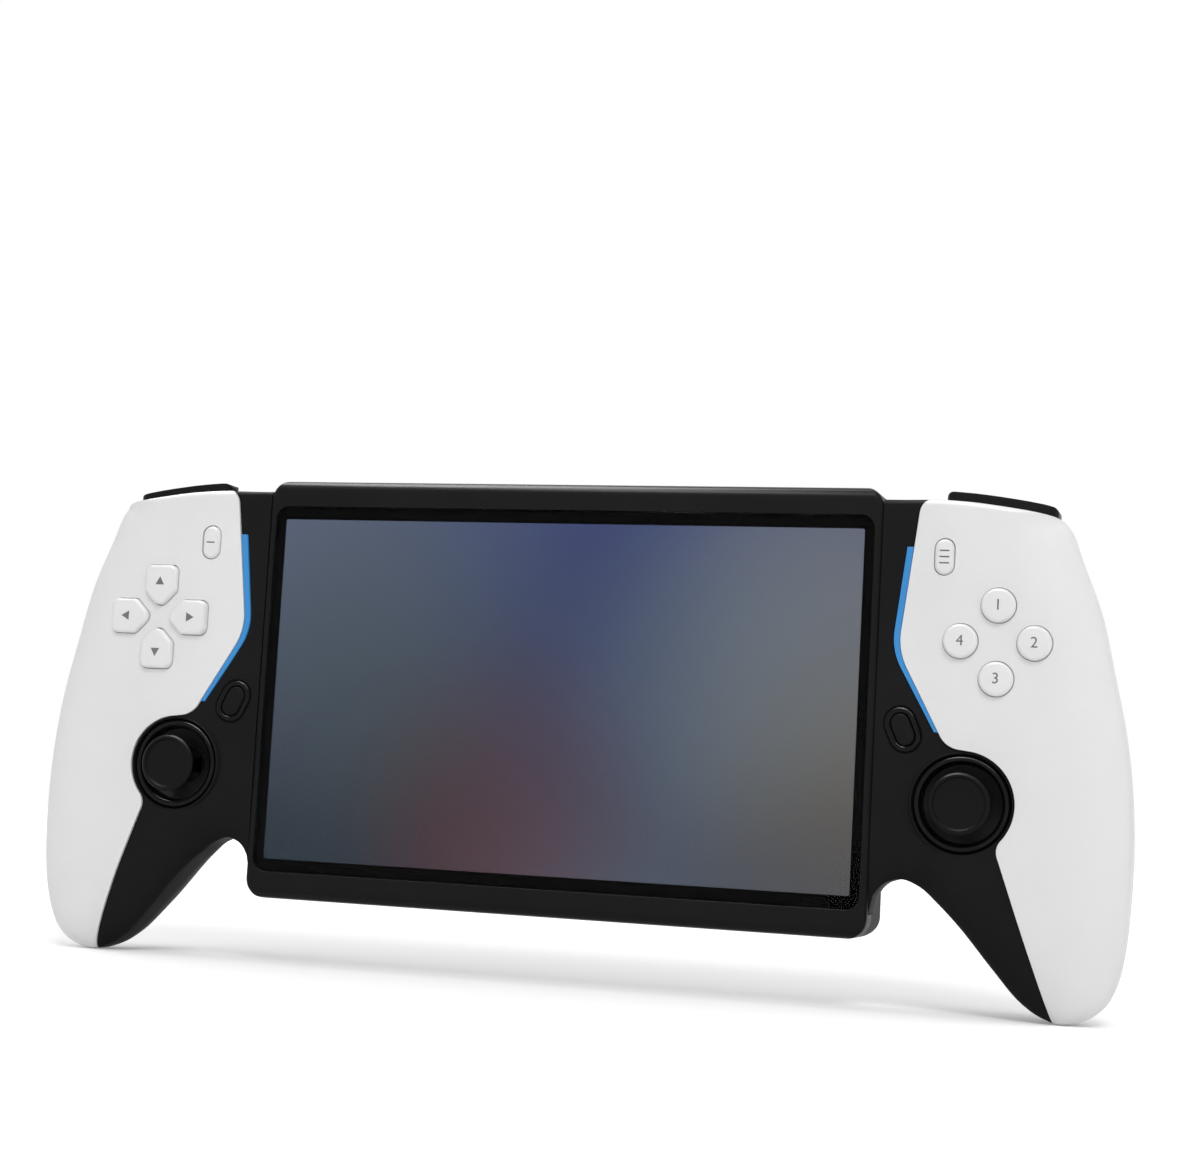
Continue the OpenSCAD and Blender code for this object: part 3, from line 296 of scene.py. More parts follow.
# Display: a flat lit panel, glued to the back of the glass. It shows a soft, blurred play of colours.
# The panel stays as built, and only its finish is made here.
def display_material():
    material, nodes, links, shader = new_material("lit_display")
    shader.inputs["Base Color"].default_value = (0.002, 0.002, 0.002, 1)
    shader.inputs["Specular IOR Level"].default_value = 0.02
    shader.inputs["Emission Strength"].default_value = 1
    place = nodes.new("ShaderNodeTexCoord")
    # Each glow: middle as a share of the half picture, reach in mm, colour
    glows = [
        [(-0.9, 0.95), 62, (0.12, 0.145, 0.23)], [(0.05, 0.95), 52, (0.05, 0.07, 0.185)],
        [(0.95, 0.9), 52, (0.12, 0.14, 0.215)], [(-0.62, 0.3), 46, (0.07, 0.095, 0.095)],
        [(-0.75, -0.45), 52, (0.03, 0.042, 0.058)], [(-0.17, -0.55), 36, (0.108, 0.041, 0.048)],
        [(0.12, 0.1), 40, (0.052, 0.06, 0.11)], [(0.5, 0.15), 36, (0.12, 0.17, 0.23)],
        [(0.82, 0.2), 40, (0.205, 0.215, 0.195)], [(0.98, -0.4), 36, (0.13, 0.105, 0.08)],
        [(0.4, -0.85), 50, (0.082, 0.1, 0.14)], [(0.9, -1), 36, (0.075, 0.08, 0.088)],
    ]
    colours = None
    for (across, up), reach, colour in glows:
        away = nodes.new("ShaderNodeVectorMath")
        away.operation = "DISTANCE"
        away.inputs[1].default_value = at(across * panel_w / 2, glass_t, up * panel_h / 2)
        weight = nodes.new("ShaderNodeMapRange")
        weight.interpolation_type = "SMOOTHERSTEP"
        weight.inputs["From Min"].default_value = 1.5 * reach * MM
        weight.inputs["From Max"].default_value = 0
        tint = nodes.new("ShaderNodeVectorMath")
        tint.operation = "SCALE"
        tint.inputs[0].default_value = colour
        links.new(place.outputs["Object"], away.inputs[0])
        links.new(away.outputs["Value"], weight.inputs["Value"])
        links.new(weight.outputs["Result"], tint.inputs["Scale"])
        if colours is None:
            colours, weights = tint.outputs["Vector"], weight.outputs["Result"]
            continue
        more_colour = nodes.new("ShaderNodeVectorMath")
        more_weight = nodes.new("ShaderNodeMath")
        links.new(colours, more_colour.inputs[0])
        links.new(tint.outputs["Vector"], more_colour.inputs[1])
        links.new(weights, more_weight.inputs[0])
        links.new(weight.outputs["Result"], more_weight.inputs[1])
        colours, weights = more_colour.outputs["Vector"], more_weight.outputs["Value"]
    even = nodes.new("ShaderNodeVectorMath")
    even.operation = "DIVIDE"
    links.new(colours, even.inputs[0])
    links.new(weights, even.inputs[1])
    links.new(even.outputs["Vector"], shader.inputs["Emission Color"])
    return material


def dress(material, *names):
    """Gives parts that stay as built a finish."""
    for name in names:
        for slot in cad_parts[name].material_slots:
            slot.material = material


dress(display_material(), "display_panel")

# Back of the tablet: a tray moulded in matt black plastic, with vents, speaker slots and screw holes.
# The two edge buttons on top are of that plastic too.
dark_plastic = plastic("dark_plastic", (0.0118, 0.0118, 0.0126), (0.0138, 0.0138, 0.0146), 0.36, 0.22, 0.02,
                       specular=0.012)
dress(dark_plastic, "back_cover", "power_button", "volume_rocker", "headphone_socket",
      "left_speaker", "right_speaker")


# Inside the tablet: pressed plate, boards, battery and heat spreader, screwed and glued to the plate.
# They are hidden once the tablet is closed.
def metal(name, colour, roughness, lines):
    """Bare metal with fine drawn lines along X."""
    material, nodes, links, shader = new_material(name)
    shader.inputs["Metallic"].default_value = 1
    place = nodes.new("ShaderNodeTexCoord")
    stretch = nodes.new("ShaderNodeMapping")
    stretch.inputs["Scale"].default_value = (0.03, 1, 1)
    grain = nodes.new("ShaderNodeTexNoise")
    grain.inputs["Scale"].default_value = 1 / (lines * MM)
    tone = nodes.new("ShaderNodeValToRGB")
    tone.color_ramp.elements[0].color = (*[0.8 * c for c in colour], 1)
    tone.color_ramp.elements[1].color = (*colour, 1)
    gloss = nodes.new("ShaderNodeMapRange")
    gloss.inputs["To Min"].default_value = roughness - 0.08
    gloss.inputs["To Max"].default_value = roughness + 0.08
    links.new(place.outputs["Object"], stretch.inputs["Vector"])
    links.new(stretch.outputs["Vector"], grain.inputs["Vector"])
    links.new(grain.outputs["Fac"], tone.inputs["Fac"])
    links.new(tone.outputs["Color"], shader.inputs["Base Color"])
    links.new(grain.outputs["Fac"], gloss.inputs["Value"])
    links.new(gloss.outputs["Result"], shader.inputs["Roughness"])
    return material


def board_material():
    """Circuit board: green lacquer over copper tracks."""
    material, nodes, links, shader = new_material("circuit_board")
    shader.inputs["Roughness"].default_value = 0.35
    place = nodes.new("ShaderNodeTexCoord")
    turn = nodes.new("ShaderNodeMapping")
    turn.inputs["Rotation"].default_value = (math.radians(90), 0, 0)
    tracks = nodes.new("ShaderNodeTexBrick")
    tracks.inputs["Scale"].default_value = 1 / (2.2 * MM)
    tracks.inputs["Mortar Size"].default_value = 0.06
    tracks.inputs["Color1"].default_value = (0.006, 0.05, 0.028, 1)
    tracks.inputs["Color2"].default_value = (0.008, 0.06, 0.03, 1)
    tracks.inputs["Mortar"].default_value = (0.03, 0.12, 0.05, 1)
    links.new(place.outputs["Object"], turn.inputs["Vector"])
    links.new(turn.outputs["Vector"], tracks.inputs["Vector"])
    links.new(tracks.outputs["Color"], shader.inputs["Base Color"])
    return material


bare_metal = metal("bare_metal", (0.56, 0.57, 0.58), 0.36, 0.15)
copper = metal("copper", (0.72, 0.38, 0.22), 0.34, 0.2)
circuit_board = board_material()
membrane_rubber = plastic("membrane_rubber", (0.24, 0.24, 0.25), (0.3, 0.3, 0.31), 0.7, 0.4, 0.02)
battery_wrap = plastic("battery_wrap", (0.02, 0.02, 0.022), (0.03, 0.03, 0.032), 0.55, 0.3, 0.01)
dress(bare_metal, "chassis_plate", "usb_socket", "card_socket", "case_screws")
dress(circuit_board, "main_board", "left_button_board", "right_button_board")
dress(copper, "heat_spreader")
dress(battery_wrap, "battery")
dress(membrane_rubber, "left_key_membrane", "right_key_membrane")

# Dark front shells of the grip wings: thin matt black mouldings that carry the sticks, the light strips and
# the white covers. They are screwed to the rear shells from behind, all along the parting line.
outer_x = cad_high.x / MM
wing_w = outer_x - side_x
wing_top = 52.1
grip_drop = (screen_z - cad_low.z) / MM
waist_z = -33
arch_z = -40
arch_in = 7.5
grip_depth = 36
wing_depth = 17
shoulder_depth = 20.5
crown = 2
crown_from = 4
crown_full = 20
wing_step = 0.6
rim_w = 13
rim_d = 6
rear_rim = 16
shell_wall = 2
parting = 9
rear_wall = parting + 2
corner_inset = 18
top_rim = 1.6
top_rear_rim = 5
tip_recede = 2
tip_h = 26
palm_top = 34
palm_full = -10
palm_w = 34
rim_near = 0.3
rim_fade = 16
stick_cx = side_x + 21.9
stick_z = -21.3
ring_r = 11.6
ring_hole_r = 9.7
ring_seat = 0.6
well_bottom = 6.5
cover_arc_r = ring_r + 1
grip_head = 7.6
grip_head_z = stick_z - 8.7
grip_foot = 14.1
grip_foot_z = -grip_drop - 8.2
# Upper and lower outline of a wing, as [distance in from the widest point, height]
top_edge = np.array([
    [0, waist_z], [1.4, waist_z + 23], [5.3, waist_z + 43], [9, wing_top - 26.5], [14, wing_top - 13.5],
    [16.6, wing_top - 6.6], [18.4, wing_top - 4.6], [21.5, wing_top - 3.6], [31.5, wing_top - 1.8],
    [41.5, wing_top - 0.6], [wing_w - 9, wing_top], [wing_w, wing_top]])
low_edge = np.array([
    [0, waist_z], [0.45, waist_z - 13], [1.3, 17 - grip_drop], [2.9, 9.8 - grip_drop],
    [5.4, 4.8 - grip_drop], [10, 1.3 - grip_drop], [15.5, -grip_drop], [20, 1.3 - grip_drop],
    [25, 4.5 - grip_drop], [31.7, 11.8 - grip_drop], [40.3, 21.8 - grip_drop],
    [wing_w - 16, arch_z - 5], [wing_w - 11.5, arch_z - 1.4], [wing_w - arch_in, arch_z],
    [wing_w - 4, arch_z - 0.9], [wing_w - 1.8, arch_z - 2.8], [wing_w - 0.6, arch_z - 5.2],
    [wing_w, arch_z - 9]])


def edge_height(edge, inset):
    """Height of an outline: a smooth curve through its points that never overshoots them."""
    knots, heights = np.sqrt(edge[:, 0]), edge[:, 1]
    rise = np.diff(heights) / np.diff(knots)
    slope = np.concatenate([rise[:1], np.zeros(len(rise) - 1), rise[-1:]])
    for i in range(1, len(rise)):
        if rise[i - 1] * rise[i] > 0:
            slope[i] = 2 * rise[i - 1] * rise[i] / (rise[i - 1] + rise[i])
    k = np.sqrt(inset)
    i = np.clip(np.searchsorted(knots, k) - 1, 0, len(knots) - 2)
    h = knots[i + 1] - knots[i]
    t = (k - knots[i]) / h
    return (heights[i] * (1 + 2 * t) * (1 - t) ** 2 + h * slope[i] * t * (1 - t) ** 2
            + heights[i + 1] * t * t * (3 - 2 * t) + h * slope[i + 1] * t * t * (t - 1))


def smooth(a, b, v):
    t = np.clip((v - a) / (b - a), 0, 1)
    return t * t * (3 - 2 * t)


rim_insets = corner_inset * np.linspace(1, 0, 60) ** 2
low_insets = wing_w * np.linspace(0, 1, 160) ** 2
rim_line = np.concatenate([
    np.stack([outer_x - rim_insets, edge_height(top_edge, rim_insets)], 1),
    np.stack([outer_x - low_insets, edge_height(low_edge, low_insets)], 1)[1:]])


def rim_gap(x, z):
    """Distance of points from the rounded part of the outline: the outer side, the tip and the arch."""
    points = np.stack([x, z], 1)
    gap = np.full(len(points), np.inf)
    for a, b in zip(rim_line[:-1], rim_line[1:]):
        along = b - a
        t = np.clip((points - a) @ along / (along @ along), 0, 1)
        gap = np.minimum(gap, np.linalg.norm(points - a - t[:, None] * along, axis=1))
    return gap


def top_gap(x, z):
    return np.where(outer_x - x < corner_inset, 1e3, edge_height(top_edge, outer_x - x) - z)


def dip(gap, w, d):
    return d * (1 - np.sqrt(np.clip(1 - np.clip(1 - gap / w, 0, 1) ** 2, 0, 1)))


def front_depth(x, z, step):
    """Depth of a wing's front: crowned, falling away to the tip and rounded over at the rim."""
    rim_share = rim_near + (1 - rim_near) * smooth(side_x, side_x + rim_fade, x)
    rim = np.maximum(dip(rim_gap(x, z), rim_w, rim_d * rim_share), dip(top_gap(x, z), top_rim, top_rim))
    middle = crown * smooth(side_x + crown_from, side_x + crown_full, x)
    return step - middle + tip_recede * smooth(grip_drop - tip_h, grip_drop, -z) + rim


def back_depth(x, z):
    """Depth of a wing's back: shallow beside the tablet, swelling into the palm grip."""
    across = smooth(side_x, side_x + palm_w, x)
    down = smooth(-palm_top, -palm_full, -z)
    tip = 1 - 0.5 * smooth(grip_drop - tip_h, grip_drop, -z)
    swell = wing_depth - rear_wall + across * (
        shoulder_depth - wing_depth + (grip_depth - shoulder_depth) * down * tip)
    edge = np.minimum(1 - dip(rim_gap(x, z), rear_rim, 1), 1 - dip(top_gap(x, z), top_rear_rim, 1))
    return rear_wall + swell * edge


def edge_lean(edge, inset):
    """How much longer an outline is than the distance in that it covers."""
    a, b = np.maximum(0, inset - 0.02), np.minimum(wing_w, inset + 0.02)
    return np.sqrt(1 + ((edge_height(edge, b) - edge_height(edge, a)) / (b - a)) ** 2)


def wing_lump(name, depth_at, wall, flat):
    """A right wing in the solid: a grid shaped to the outline, less a wall, and extruded to a flat face."""
    bpy.ops.object.select_all(action="DESELECT")
    bpy.ops.mesh.primitive_grid_add(x_subdivisions=84, y_subdivisions=96, size=2)
    lump = bpy.context.object
    lump.name = name
    grid = np.zeros(3 * len(lump.data.vertices))
    lump.data.vertices.foreach_get("co", grid)
    u, v = (grid[0::3] + 1) / 2, (grid[1::3] + 1) / 2
    inset = wall + (wing_w - 2 * wall) * (0.02 + 0.98 * (u - 0.05 * np.sin(2 * np.pi * u))) ** 2
    low = edge_height(low_edge, inset) + wall * edge_lean(low_edge, inset)
    if wall:
        low = np.where(inset > wing_w - arch_in, np.maximum(low, arch_z + wall), low)
    top = edge_height(top_edge, inset) - wall * edge_lean(top_edge, inset)
    x = outer_x - inset
    z = low + (top - low) * (0.5 - 0.5 * np.cos(np.pi * v))
    for vertex, px, pd, pz in zip(lump.data.vertices, x, depth_at(x, z), z):
        vertex.co = at(px, pd, pz)
    bpy.ops.object.mode_set(mode="EDIT")
    bpy.ops.mesh.select_all(action="SELECT")
    bpy.ops.mesh.extrude_region_move()
    bpy.ops.transform.resize(value=(1, 0, 1), center_override=at(0, flat, 0))
    face_out()
    return lump


def wing_shell(name, depth_at, inward):
    """Half of a right wing, hollowed to its wall from the parting line."""
    shell = wing_lump(name, depth_at, 0, parting)
    cut(shell, wing_lump("hollow", lambda x, z: depth_at(x, z) + inward * shell_wall, shell_wall,
                         parting + inward * over))
    return shell


def white_outline(grow):
    """Edge of the white front cover: beside the tablet, round the stick and down along the grip."""
    stick = Vector((stick_cx, stick_z))
    arc_r = cover_arc_r - grow
    heel = Vector((stick_cx - 4.2, stick_z + cover_arc_r + 0.6))
    head = Vector((stick_cx + grip_head, grip_head_z))
    foot = Vector((outer_x - grip_foot, grip_foot_z))
    along = (foot - head).normalized()
    inward = Vector((-along.y, along.x))
    nose_r = 4 + grow
    head -= inward * grow
    lean = math.acos(arc_r / (heel - stick).length)
    start = (heel - stick).to_2d().angle_signed(Vector((1, 0))) - lean
    reach = head + inward * nose_r - stick
    back = reach.dot(along)
    run = math.sqrt(back ** 2 - reach.length_squared + (arc_r + nose_r) ** 2) - back
    nose = head + along * run + inward * nose_r
    stop = (nose - stick).angle_signed(Vector((1, 0)))
    arc = [stick + arc_r * Vector((math.cos(a), math.sin(a))) for a in np.linspace(start, stop, 40)]
    turn0, turn1 = stop + math.pi, math.atan2(-inward.y, -inward.x) % (2 * math.pi)
    tip = [nose + nose_r * Vector((math.cos(a), math.sin(a))) for a in np.linspace(turn0, turn1, 12)]
    side = rounded([
        [outer_x + far, wing_top + 1, 0], [stick_cx, wing_top + 1, 0],
        [side_x + 9.4 - grow, wing_top + grow, 4 + grow], [side_x + 5 - grow, 15, 15],
        [heel.x, heel.y - grow, 6], [arc[0].x, arc[0].y, 0]])
    return side + arc[1:] + tip + [foot - inward * grow, Vector((outer_x + far, foot.y))]


def turned(name, profile, x, z, steps=96):
    """A turned piece: a closed profile of [radius, depth] spun about the depth axis."""
    bpy.ops.object.select_all(action="DESELECT")
    bpy.ops.mesh.primitive_circle_add(vertices=len(profile), fill_type="NOTHING")
    piece = bpy.context.object
    piece.name = name
    for vertex, (radius, d) in zip(piece.data.vertices, profile):
        vertex.co = at(x + radius, d, z)
    bpy.ops.object.mode_set(mode="EDIT")
    bpy.ops.mesh.select_all(action="SELECT")
    bpy.ops.mesh.spin(steps=steps, angle=2 * math.pi, center=at(x, 0, z), axis=(0, 1, 0))
    bpy.ops.mesh.select_all(action="SELECT")
    bpy.ops.mesh.remove_doubles(threshold=1e-6)
    bpy.ops.mesh.dissolve_degenerate(threshold=1e-7)
    face_out()
    return piece


def joined(piece, *others):
    """Makes one object of several."""
    bpy.ops.object.select_all(action="DESELECT")
    for other in (piece, *others):
        other.select_set(True)
    bpy.context.view_layer.objects.active = piece
    bpy.ops.object.join()
    return piece


def mirrored(piece, name):
    """The left-hand copy of a right-hand piece."""
    twin = piece.copy()
    twin.data = piece.data.copy()
    twin.name = name
    bpy.context.collection.objects.link(twin)
    twin.data.transform(Matrix.Diagonal((-1, 1, 1, 1)))
    twin.data.flip_normals()
    return twin


def pair(piece, material, slot, label, node=None, moves=False):
    """Finishes a right-hand piece and its mirrored twin, on bodies of their own or on the console."""
    twin = mirrored(piece, "left_" + label)
    piece.name = "right_" + label
    for side, half in (("right_", piece), ("left_", twin)):
        nodes = [side + node] if node else []
        finished(half, material, slot, side + node if moves else "console", *nodes)


def box_plate(name, x0, x1, d0, d1, z0, z1):
    return plate(name, [(x0, z0), (x1, z0), (x1, z1), (x0, z1)], d0, d1)


def slot_outline(x, z, w, h, lean=0, steps=16):
    """A long hole with round ends, upright and then leaned over to the left."""
    r = w / 2
    ends = [[r * math.cos(a), h / 2 - r + r * math.sin(a)] for a in np.linspace(0, math.pi, steps)]
    ends += [[-p[0], -p[1]] for p in ends]
    tilt = Matrix.Rotation(math.radians(lean), 2)
    return [tilt @ Vector(p) + Vector((x, z)) for p in ends]


strip_w = 1.5
strip_low = -4.6
strip_top = 40.4
strip_back = 3
function_at = [side_x + 6.9, -4.1]
function_size = [4.6, 8]
function_lean = 24
key_gap = 0.16
collar_top = wing_step - crown - 0.1
collar_r = ring_r + 0.8
collar_foot_r = ring_r + 1.4
collar_foot = shell_wall - 0.4
well_r = cover_arc_r - 0.3
hole_end = 5
lip_half = 0.7
lip_rise = 0.5
groove = 0.4
groove_sink = 0.05


def function_outline(grow):
    w, h = (size + 2 * grow for size in function_size)
    return slot_outline(*function_at, w, h, function_lean)


def bead(name, outline_at, middle, half, rise, step):
    """A rounded bead along a closed outline on the front of a wing: a torus laid out along it."""
    steps = 12
    turns = [2 * math.pi * j / steps for j in range(steps)]
    lines = [outline_at(middle + half * math.cos(a)) for a in turns]
    bpy.ops.object.select_all(action="DESELECT")
    bpy.ops.mesh.primitive_torus_add(major_segments=len(lines[0]), minor_segments=steps)
    piece = bpy.context.object
    piece.name = name
    places = np.array([[line[i] for line in lines] for i in range(len(lines[0]))]).reshape(-1, 2)
    depths = front_depth(places[:, 0], places[:, 1], step)
    for n, vertex in enumerate(piece.data.vertices):
        vertex.co = at(places[n, 0], depths[n] - rise * math.sin(turns[n % steps]), places[n, 1])
    bpy.ops.object.mode_set(mode="EDIT")
    face_out()
    return piece


wing_front = wing_shell("wing_front", lambda x, z: front_depth(x, z, wing_step), 1)
collar_profile = rounded([
    [ring_hole_r, collar_foot, 0], [ring_hole_r, collar_top, 0], [collar_r, collar_top, 0.45],
    [collar_foot_r, collar_foot, 0]], 5)
cut(wing_front, turned("collar", collar_profile, stick_cx, stick_z), "UNION")
cut(wing_front, plate("cover_opening", white_outline(seam / 2), -far, far))
strip_slot = plate("strip_slot", white_outline(strip_w + 3 * seam), -far, far)
strip_reach = box_plate("strip_reach", side_x, stick_cx, -far, hole_end, strip_low, strip_top)
cut(strip_slot, strip_reach, "INTERSECT")
cut(wing_front, strip_slot)
holes = plate("stick_hole", circle(stick_cx, stick_z, ring_r + groove), -far, far)
function_hole = plate("function_hole", function_outline(key_gap), -far, hole_end)
rim_groove = bead("rim_groove", function_outline, key_gap + 2 * lip_half, groove, groove,
                  wing_step + groove_sink)
cut(wing_front, joined(holes, function_hole, rim_groove))
well_profile = [(ring_hole_r, ring_seat), (well_r, ring_seat), (well_r, well_bottom),
                (ring_hole_r, well_bottom)]
well = turned("stick_well", well_profile, stick_cx, stick_z)
pair(joined(wing_front, well), dark_plastic, "dark_shell", "wing_front_shell", "wing_front")
gloss_black = plastic("gloss_black", (0.0016, 0.0016, 0.0017), (0.0022, 0.0022, 0.0023), 0.2, 0.3, 0.006,
                      specular=0.13)
function_rim = bead("function_rim", function_outline, key_gap + lip_half, lip_half, lip_rise, wing_step)
pair(function_rim, gloss_black, "dark_shell", "function_rim")

# White front covers: crowned mouldings in satin white that lie a little proud of the dark shells.
# They have holes for the keys, are let out for the bumper, and are held by screws from behind.
white_plastic = plastic("white_plastic", (0.73, 0.73, 0.735), (0.76, 0.76, 0.765), 0.42, 0.2, 0.012, 0.16)
pad_at = Vector((side_x + 29.1, 17.5))
pad_spread = 8.8
action_d = 8.3
dpad_w = 9.2
dpad_reach = 13.8
dpad_inner = 2.2
menu_at = [side_x + 15.7, 37.8]
menu_size = [4.8, 8.8]
bumper_in = side_x + 14.5
bumper_out = outer_x - 19.8
bumper_front = 4.5
bumper_back = 13.5
bumper_gap = 0.4
slot_floor = wing_top - 11
slot_open = wing_top + 10
cover_hole_end = 6
quarters = ["top", "right", "bottom", "left"]


def quarter(i, v):
    """A point of the first key, turned clockwise by i quarters round the middle of the cross."""
    return Matrix.Rotation(-i * math.pi / 2, 2) @ Vector(v)


def action_outline(i, grow=0):
    middle = pad_at + quarter(i, (0, pad_spread))
    return circle(middle.x, middle.y, action_d / 2 + grow)


def dpad_outline(i, grow=0):
    h = dpad_w / 2 + grow
    reach = dpad_reach + grow
    inner = dpad_inner - 1.4 * grow
    path = rounded([
        [-h, reach, 2], [h, reach, 2], [h, inner + h, 1.6], [0, inner, 2.4], [-h, inner + h, 1.6]])
    return [pad_at + quarter(i, p) for p in path]


def bumper_slot():
    return box_plate("bumper_slot", bumper_in - bumper_gap, bumper_out + bumper_gap,
                     bumper_front - bumper_gap, bumper_back + bumper_gap, slot_floor, slot_open)


front_cover = wing_shell("front_cover", lambda x, z: front_depth(x, z, 0), 1)
cut(front_cover, plate("cover_edge", white_outline(-seam / 2), -far, far), "INTERSECT")
cut(front_cover, bumper_slot())
menu_hole = slot_outline(*menu_at, menu_size[0] + 2 * key_gap, menu_size[1] + 2 * key_gap)
cut(front_cover, plate("menu_hole", menu_hole, -far, cover_hole_end))
left_cover = mirrored(front_cover, "left_front_cover_shell")
action_holes = [plate("action_hole", action_outline(i, key_gap), -far, cover_hole_end) for i in range(4)]
cut(front_cover, joined(*action_holes))
dpad_holes = joined(*[plate("dpad_hole", dpad_outline(i, key_gap), -far, cover_hole_end) for i in range(4)])
cut(left_cover, mirrored(dpad_holes, "dpad_holes"))
bpy.data.objects.remove(dpad_holes)
front_cover.name = "right_front_cover_shell"
finished(front_cover, white_plastic, "white_shell", "console", "right_front_cover")
finished(left_cover, white_plastic, "white_shell", "console", "left_front_cover")


# Light strips: bars of blue frosted plastic that glow along the inner edge of the white covers.
# Each lies in a groove of the dark shell, a little below the cover.
def strip_material():
    material = plastic("light_strip", (0.03, 0.19, 0.44), (0.036, 0.21, 0.48), 0.4, 0.3, 0.01, 0.2)
    shader = material.node_tree.nodes["Principled BSDF"]
    shader.inputs["Emission Color"].default_value = (0.05, 0.28, 0.68, 1)
    shader.inputs["Emission Strength"].default_value = 0.2
    return material


light_strip = plate("light_strip", white_outline(strip_w + seam), -far, strip_back)
cut(light_strip, plate("strip_inner", white_outline(seam), -far, far))
strip_ends = box_plate("strip_ends", side_x, stick_cx, -far, far, strip_low + seam, strip_top - seam)
cut(light_strip, strip_ends, "INTERSECT")
strip_face = wing_lump("strip_face", lambda x, z: front_depth(x, z, wing_step / 2), 0, parting)
cut(light_strip, strip_face, "INTERSECT")
pair(light_strip, strip_material(), "light_guide", "light_strip_bar", "light_strip")

# Rear shells of the wings: dark inside against the tablet, white outside where the palm and fingers lie.
# Screws in deep bores hold them to the front shells, and the trigger comes out through an opening.
trigger_z = 41
trigger_d = 19
trigger_in = bumper_in + 1.6
trigger_out = bumper_out - 1.6
trigger_gap = 0.5
trigger_slot_low = trigger_z - 17.5
screw_bore_r = 2.35
screw_tube_r = 3.4
screw_seat = parting + 4
tube_sunk = 0.4
dark_screws = [[side_x + 5, -33], [side_x + 5, wing_top - 6.5]]
white_screws = [[outer_x - 13, -44], [outer_x - 10.5, -6]]


def rear_outline(grow):
    """Edge of the white rear cover: down beside the dark shell, then out along the grip to its tip."""
    return rounded([
        [outer_x + far, wing_top + 5, 0], [side_x + 12 - grow, wing_top + 5, 0],
        [side_x + 11 - grow, 0, 40], [stick_cx + grip_head - 1 - grow, grip_head_z, 20],
        [outer_x - grip_foot - grow, grip_foot_z, 0], [outer_x + far, grip_foot_z, 0]], 16)


def bored(shell, screws):
    """Opens a shell for its screws, each in a tube from under the skin down to the screw's seat."""
    profile = [(screw_bore_r, screw_seat), (screw_tube_r, screw_seat), (screw_tube_r, far),
               (screw_bore_r, far)]
    tubes = joined(*[turned("screw_tube", profile, x, z, 32) for x, z in screws])
    skin = wing_lump("grip_skin", lambda x, z: back_depth(x, z) - tube_sunk, tube_sunk, parting)
    cut(tubes, skin, "INTERSECT")
    for x, z in screws:
        cut(shell, plate("screw_bore", circle(x, z, screw_bore_r, 32), screw_seat, far))
    joined(shell, tubes)


wing_rear = wing_shell("wing_rear", back_depth, -1)
rear_cover = wing_rear.copy()
rear_cover.data = wing_rear.data.copy()
bpy.context.collection.objects.link(rear_cover)
cut(wing_rear, plate("rear_opening", rear_outline(seam / 2), -far, far))
bored(wing_rear, dark_screws)
pair(wing_rear, dark_plastic, "dark_shell", "wing_rear_shell", "wing_rear")
cut(rear_cover, plate("rear_edge", rear_outline(-seam / 2), -far, far), "INTERSECT")
cut(rear_cover, bumper_slot())
cut(rear_cover, box_plate("trigger_slot", trigger_in - trigger_gap, trigger_out + trigger_gap,
                          bumper_back, far, trigger_slot_low, slot_open))
bored(rear_cover, white_screws)
pair(rear_cover, white_plastic, "white_shell", "rear_cover_shell", "rear_cover")

# Direction keys and action buttons: white keycaps with rounded edges, each guided in its own hole.
# They press a rubber mat over the circuit board, and carry a printed grey mark.
white_key = plastic("white_key", (0.74, 0.74, 0.745), (0.77, 0.77, 0.775), 0.36, 0.2, 0.008, 0.2)
mark_ink = plastic("mark_ink", (0.14, 0.14, 0.145), (0.18, 0.18, 0.185), 0.6, 0.1, 0.002, 0.2)
key_proud = 1.6
key_face = -crown - key_proud
key_bottom = 2.6
flange_front = 0.75
flange_back = 1.65
flange_w = 0.8
mark_t = 0.03
key_round = 0.95
digit_h = 2.6
digit_share = 0.7
arrow = ((-1.25, 8.5), (1.25, 8.5), (0, 10.7))


def key(name, outline, flange, face, flange_at=flange_front):
    """A keycap: a rounded top on a stem, with a flange that keeps it in the shell."""
    cap = plate(name, outline, face, key_bottom)
    round_edges(cap, key_round, 5, at_depth(face))
    skirt = plate("flange", flange, flange_at, flange_at + flange_back - flange_front)
    cut(cap, skirt, "UNION")
    return cap


def mark(name, outline, face, body):
    """A printed mark: a film of grey ink on a keycap."""
    finished(plate(name, outline, face - mark_t, face + mark_t), mark_ink, "white_key", body)


def digit(name, sign, x, z, body):
    """A numeral printed on an action button."""
    bpy.ops.object.select_all(action="DESELECT")
    bpy.ops.object.text_add()
    numeral = bpy.context.object
    numeral.name = name
    numeral.data.body = sign
    numeral.data.align_x = "CENTER"
    numeral.data.align_y = "CENTER"
    numeral.data.size = digit_h * MM / digit_share
    numeral.data.extrude = mark_t * MM
    bpy.ops.object.convert(target="MESH")
    place = Matrix.Translation(at(x, key_face, z))
    numeral.data.transform(place @ Matrix.Rotation(math.radians(90), 4, "X"))
    finished(numeral, mark_ink, "white_key", body)


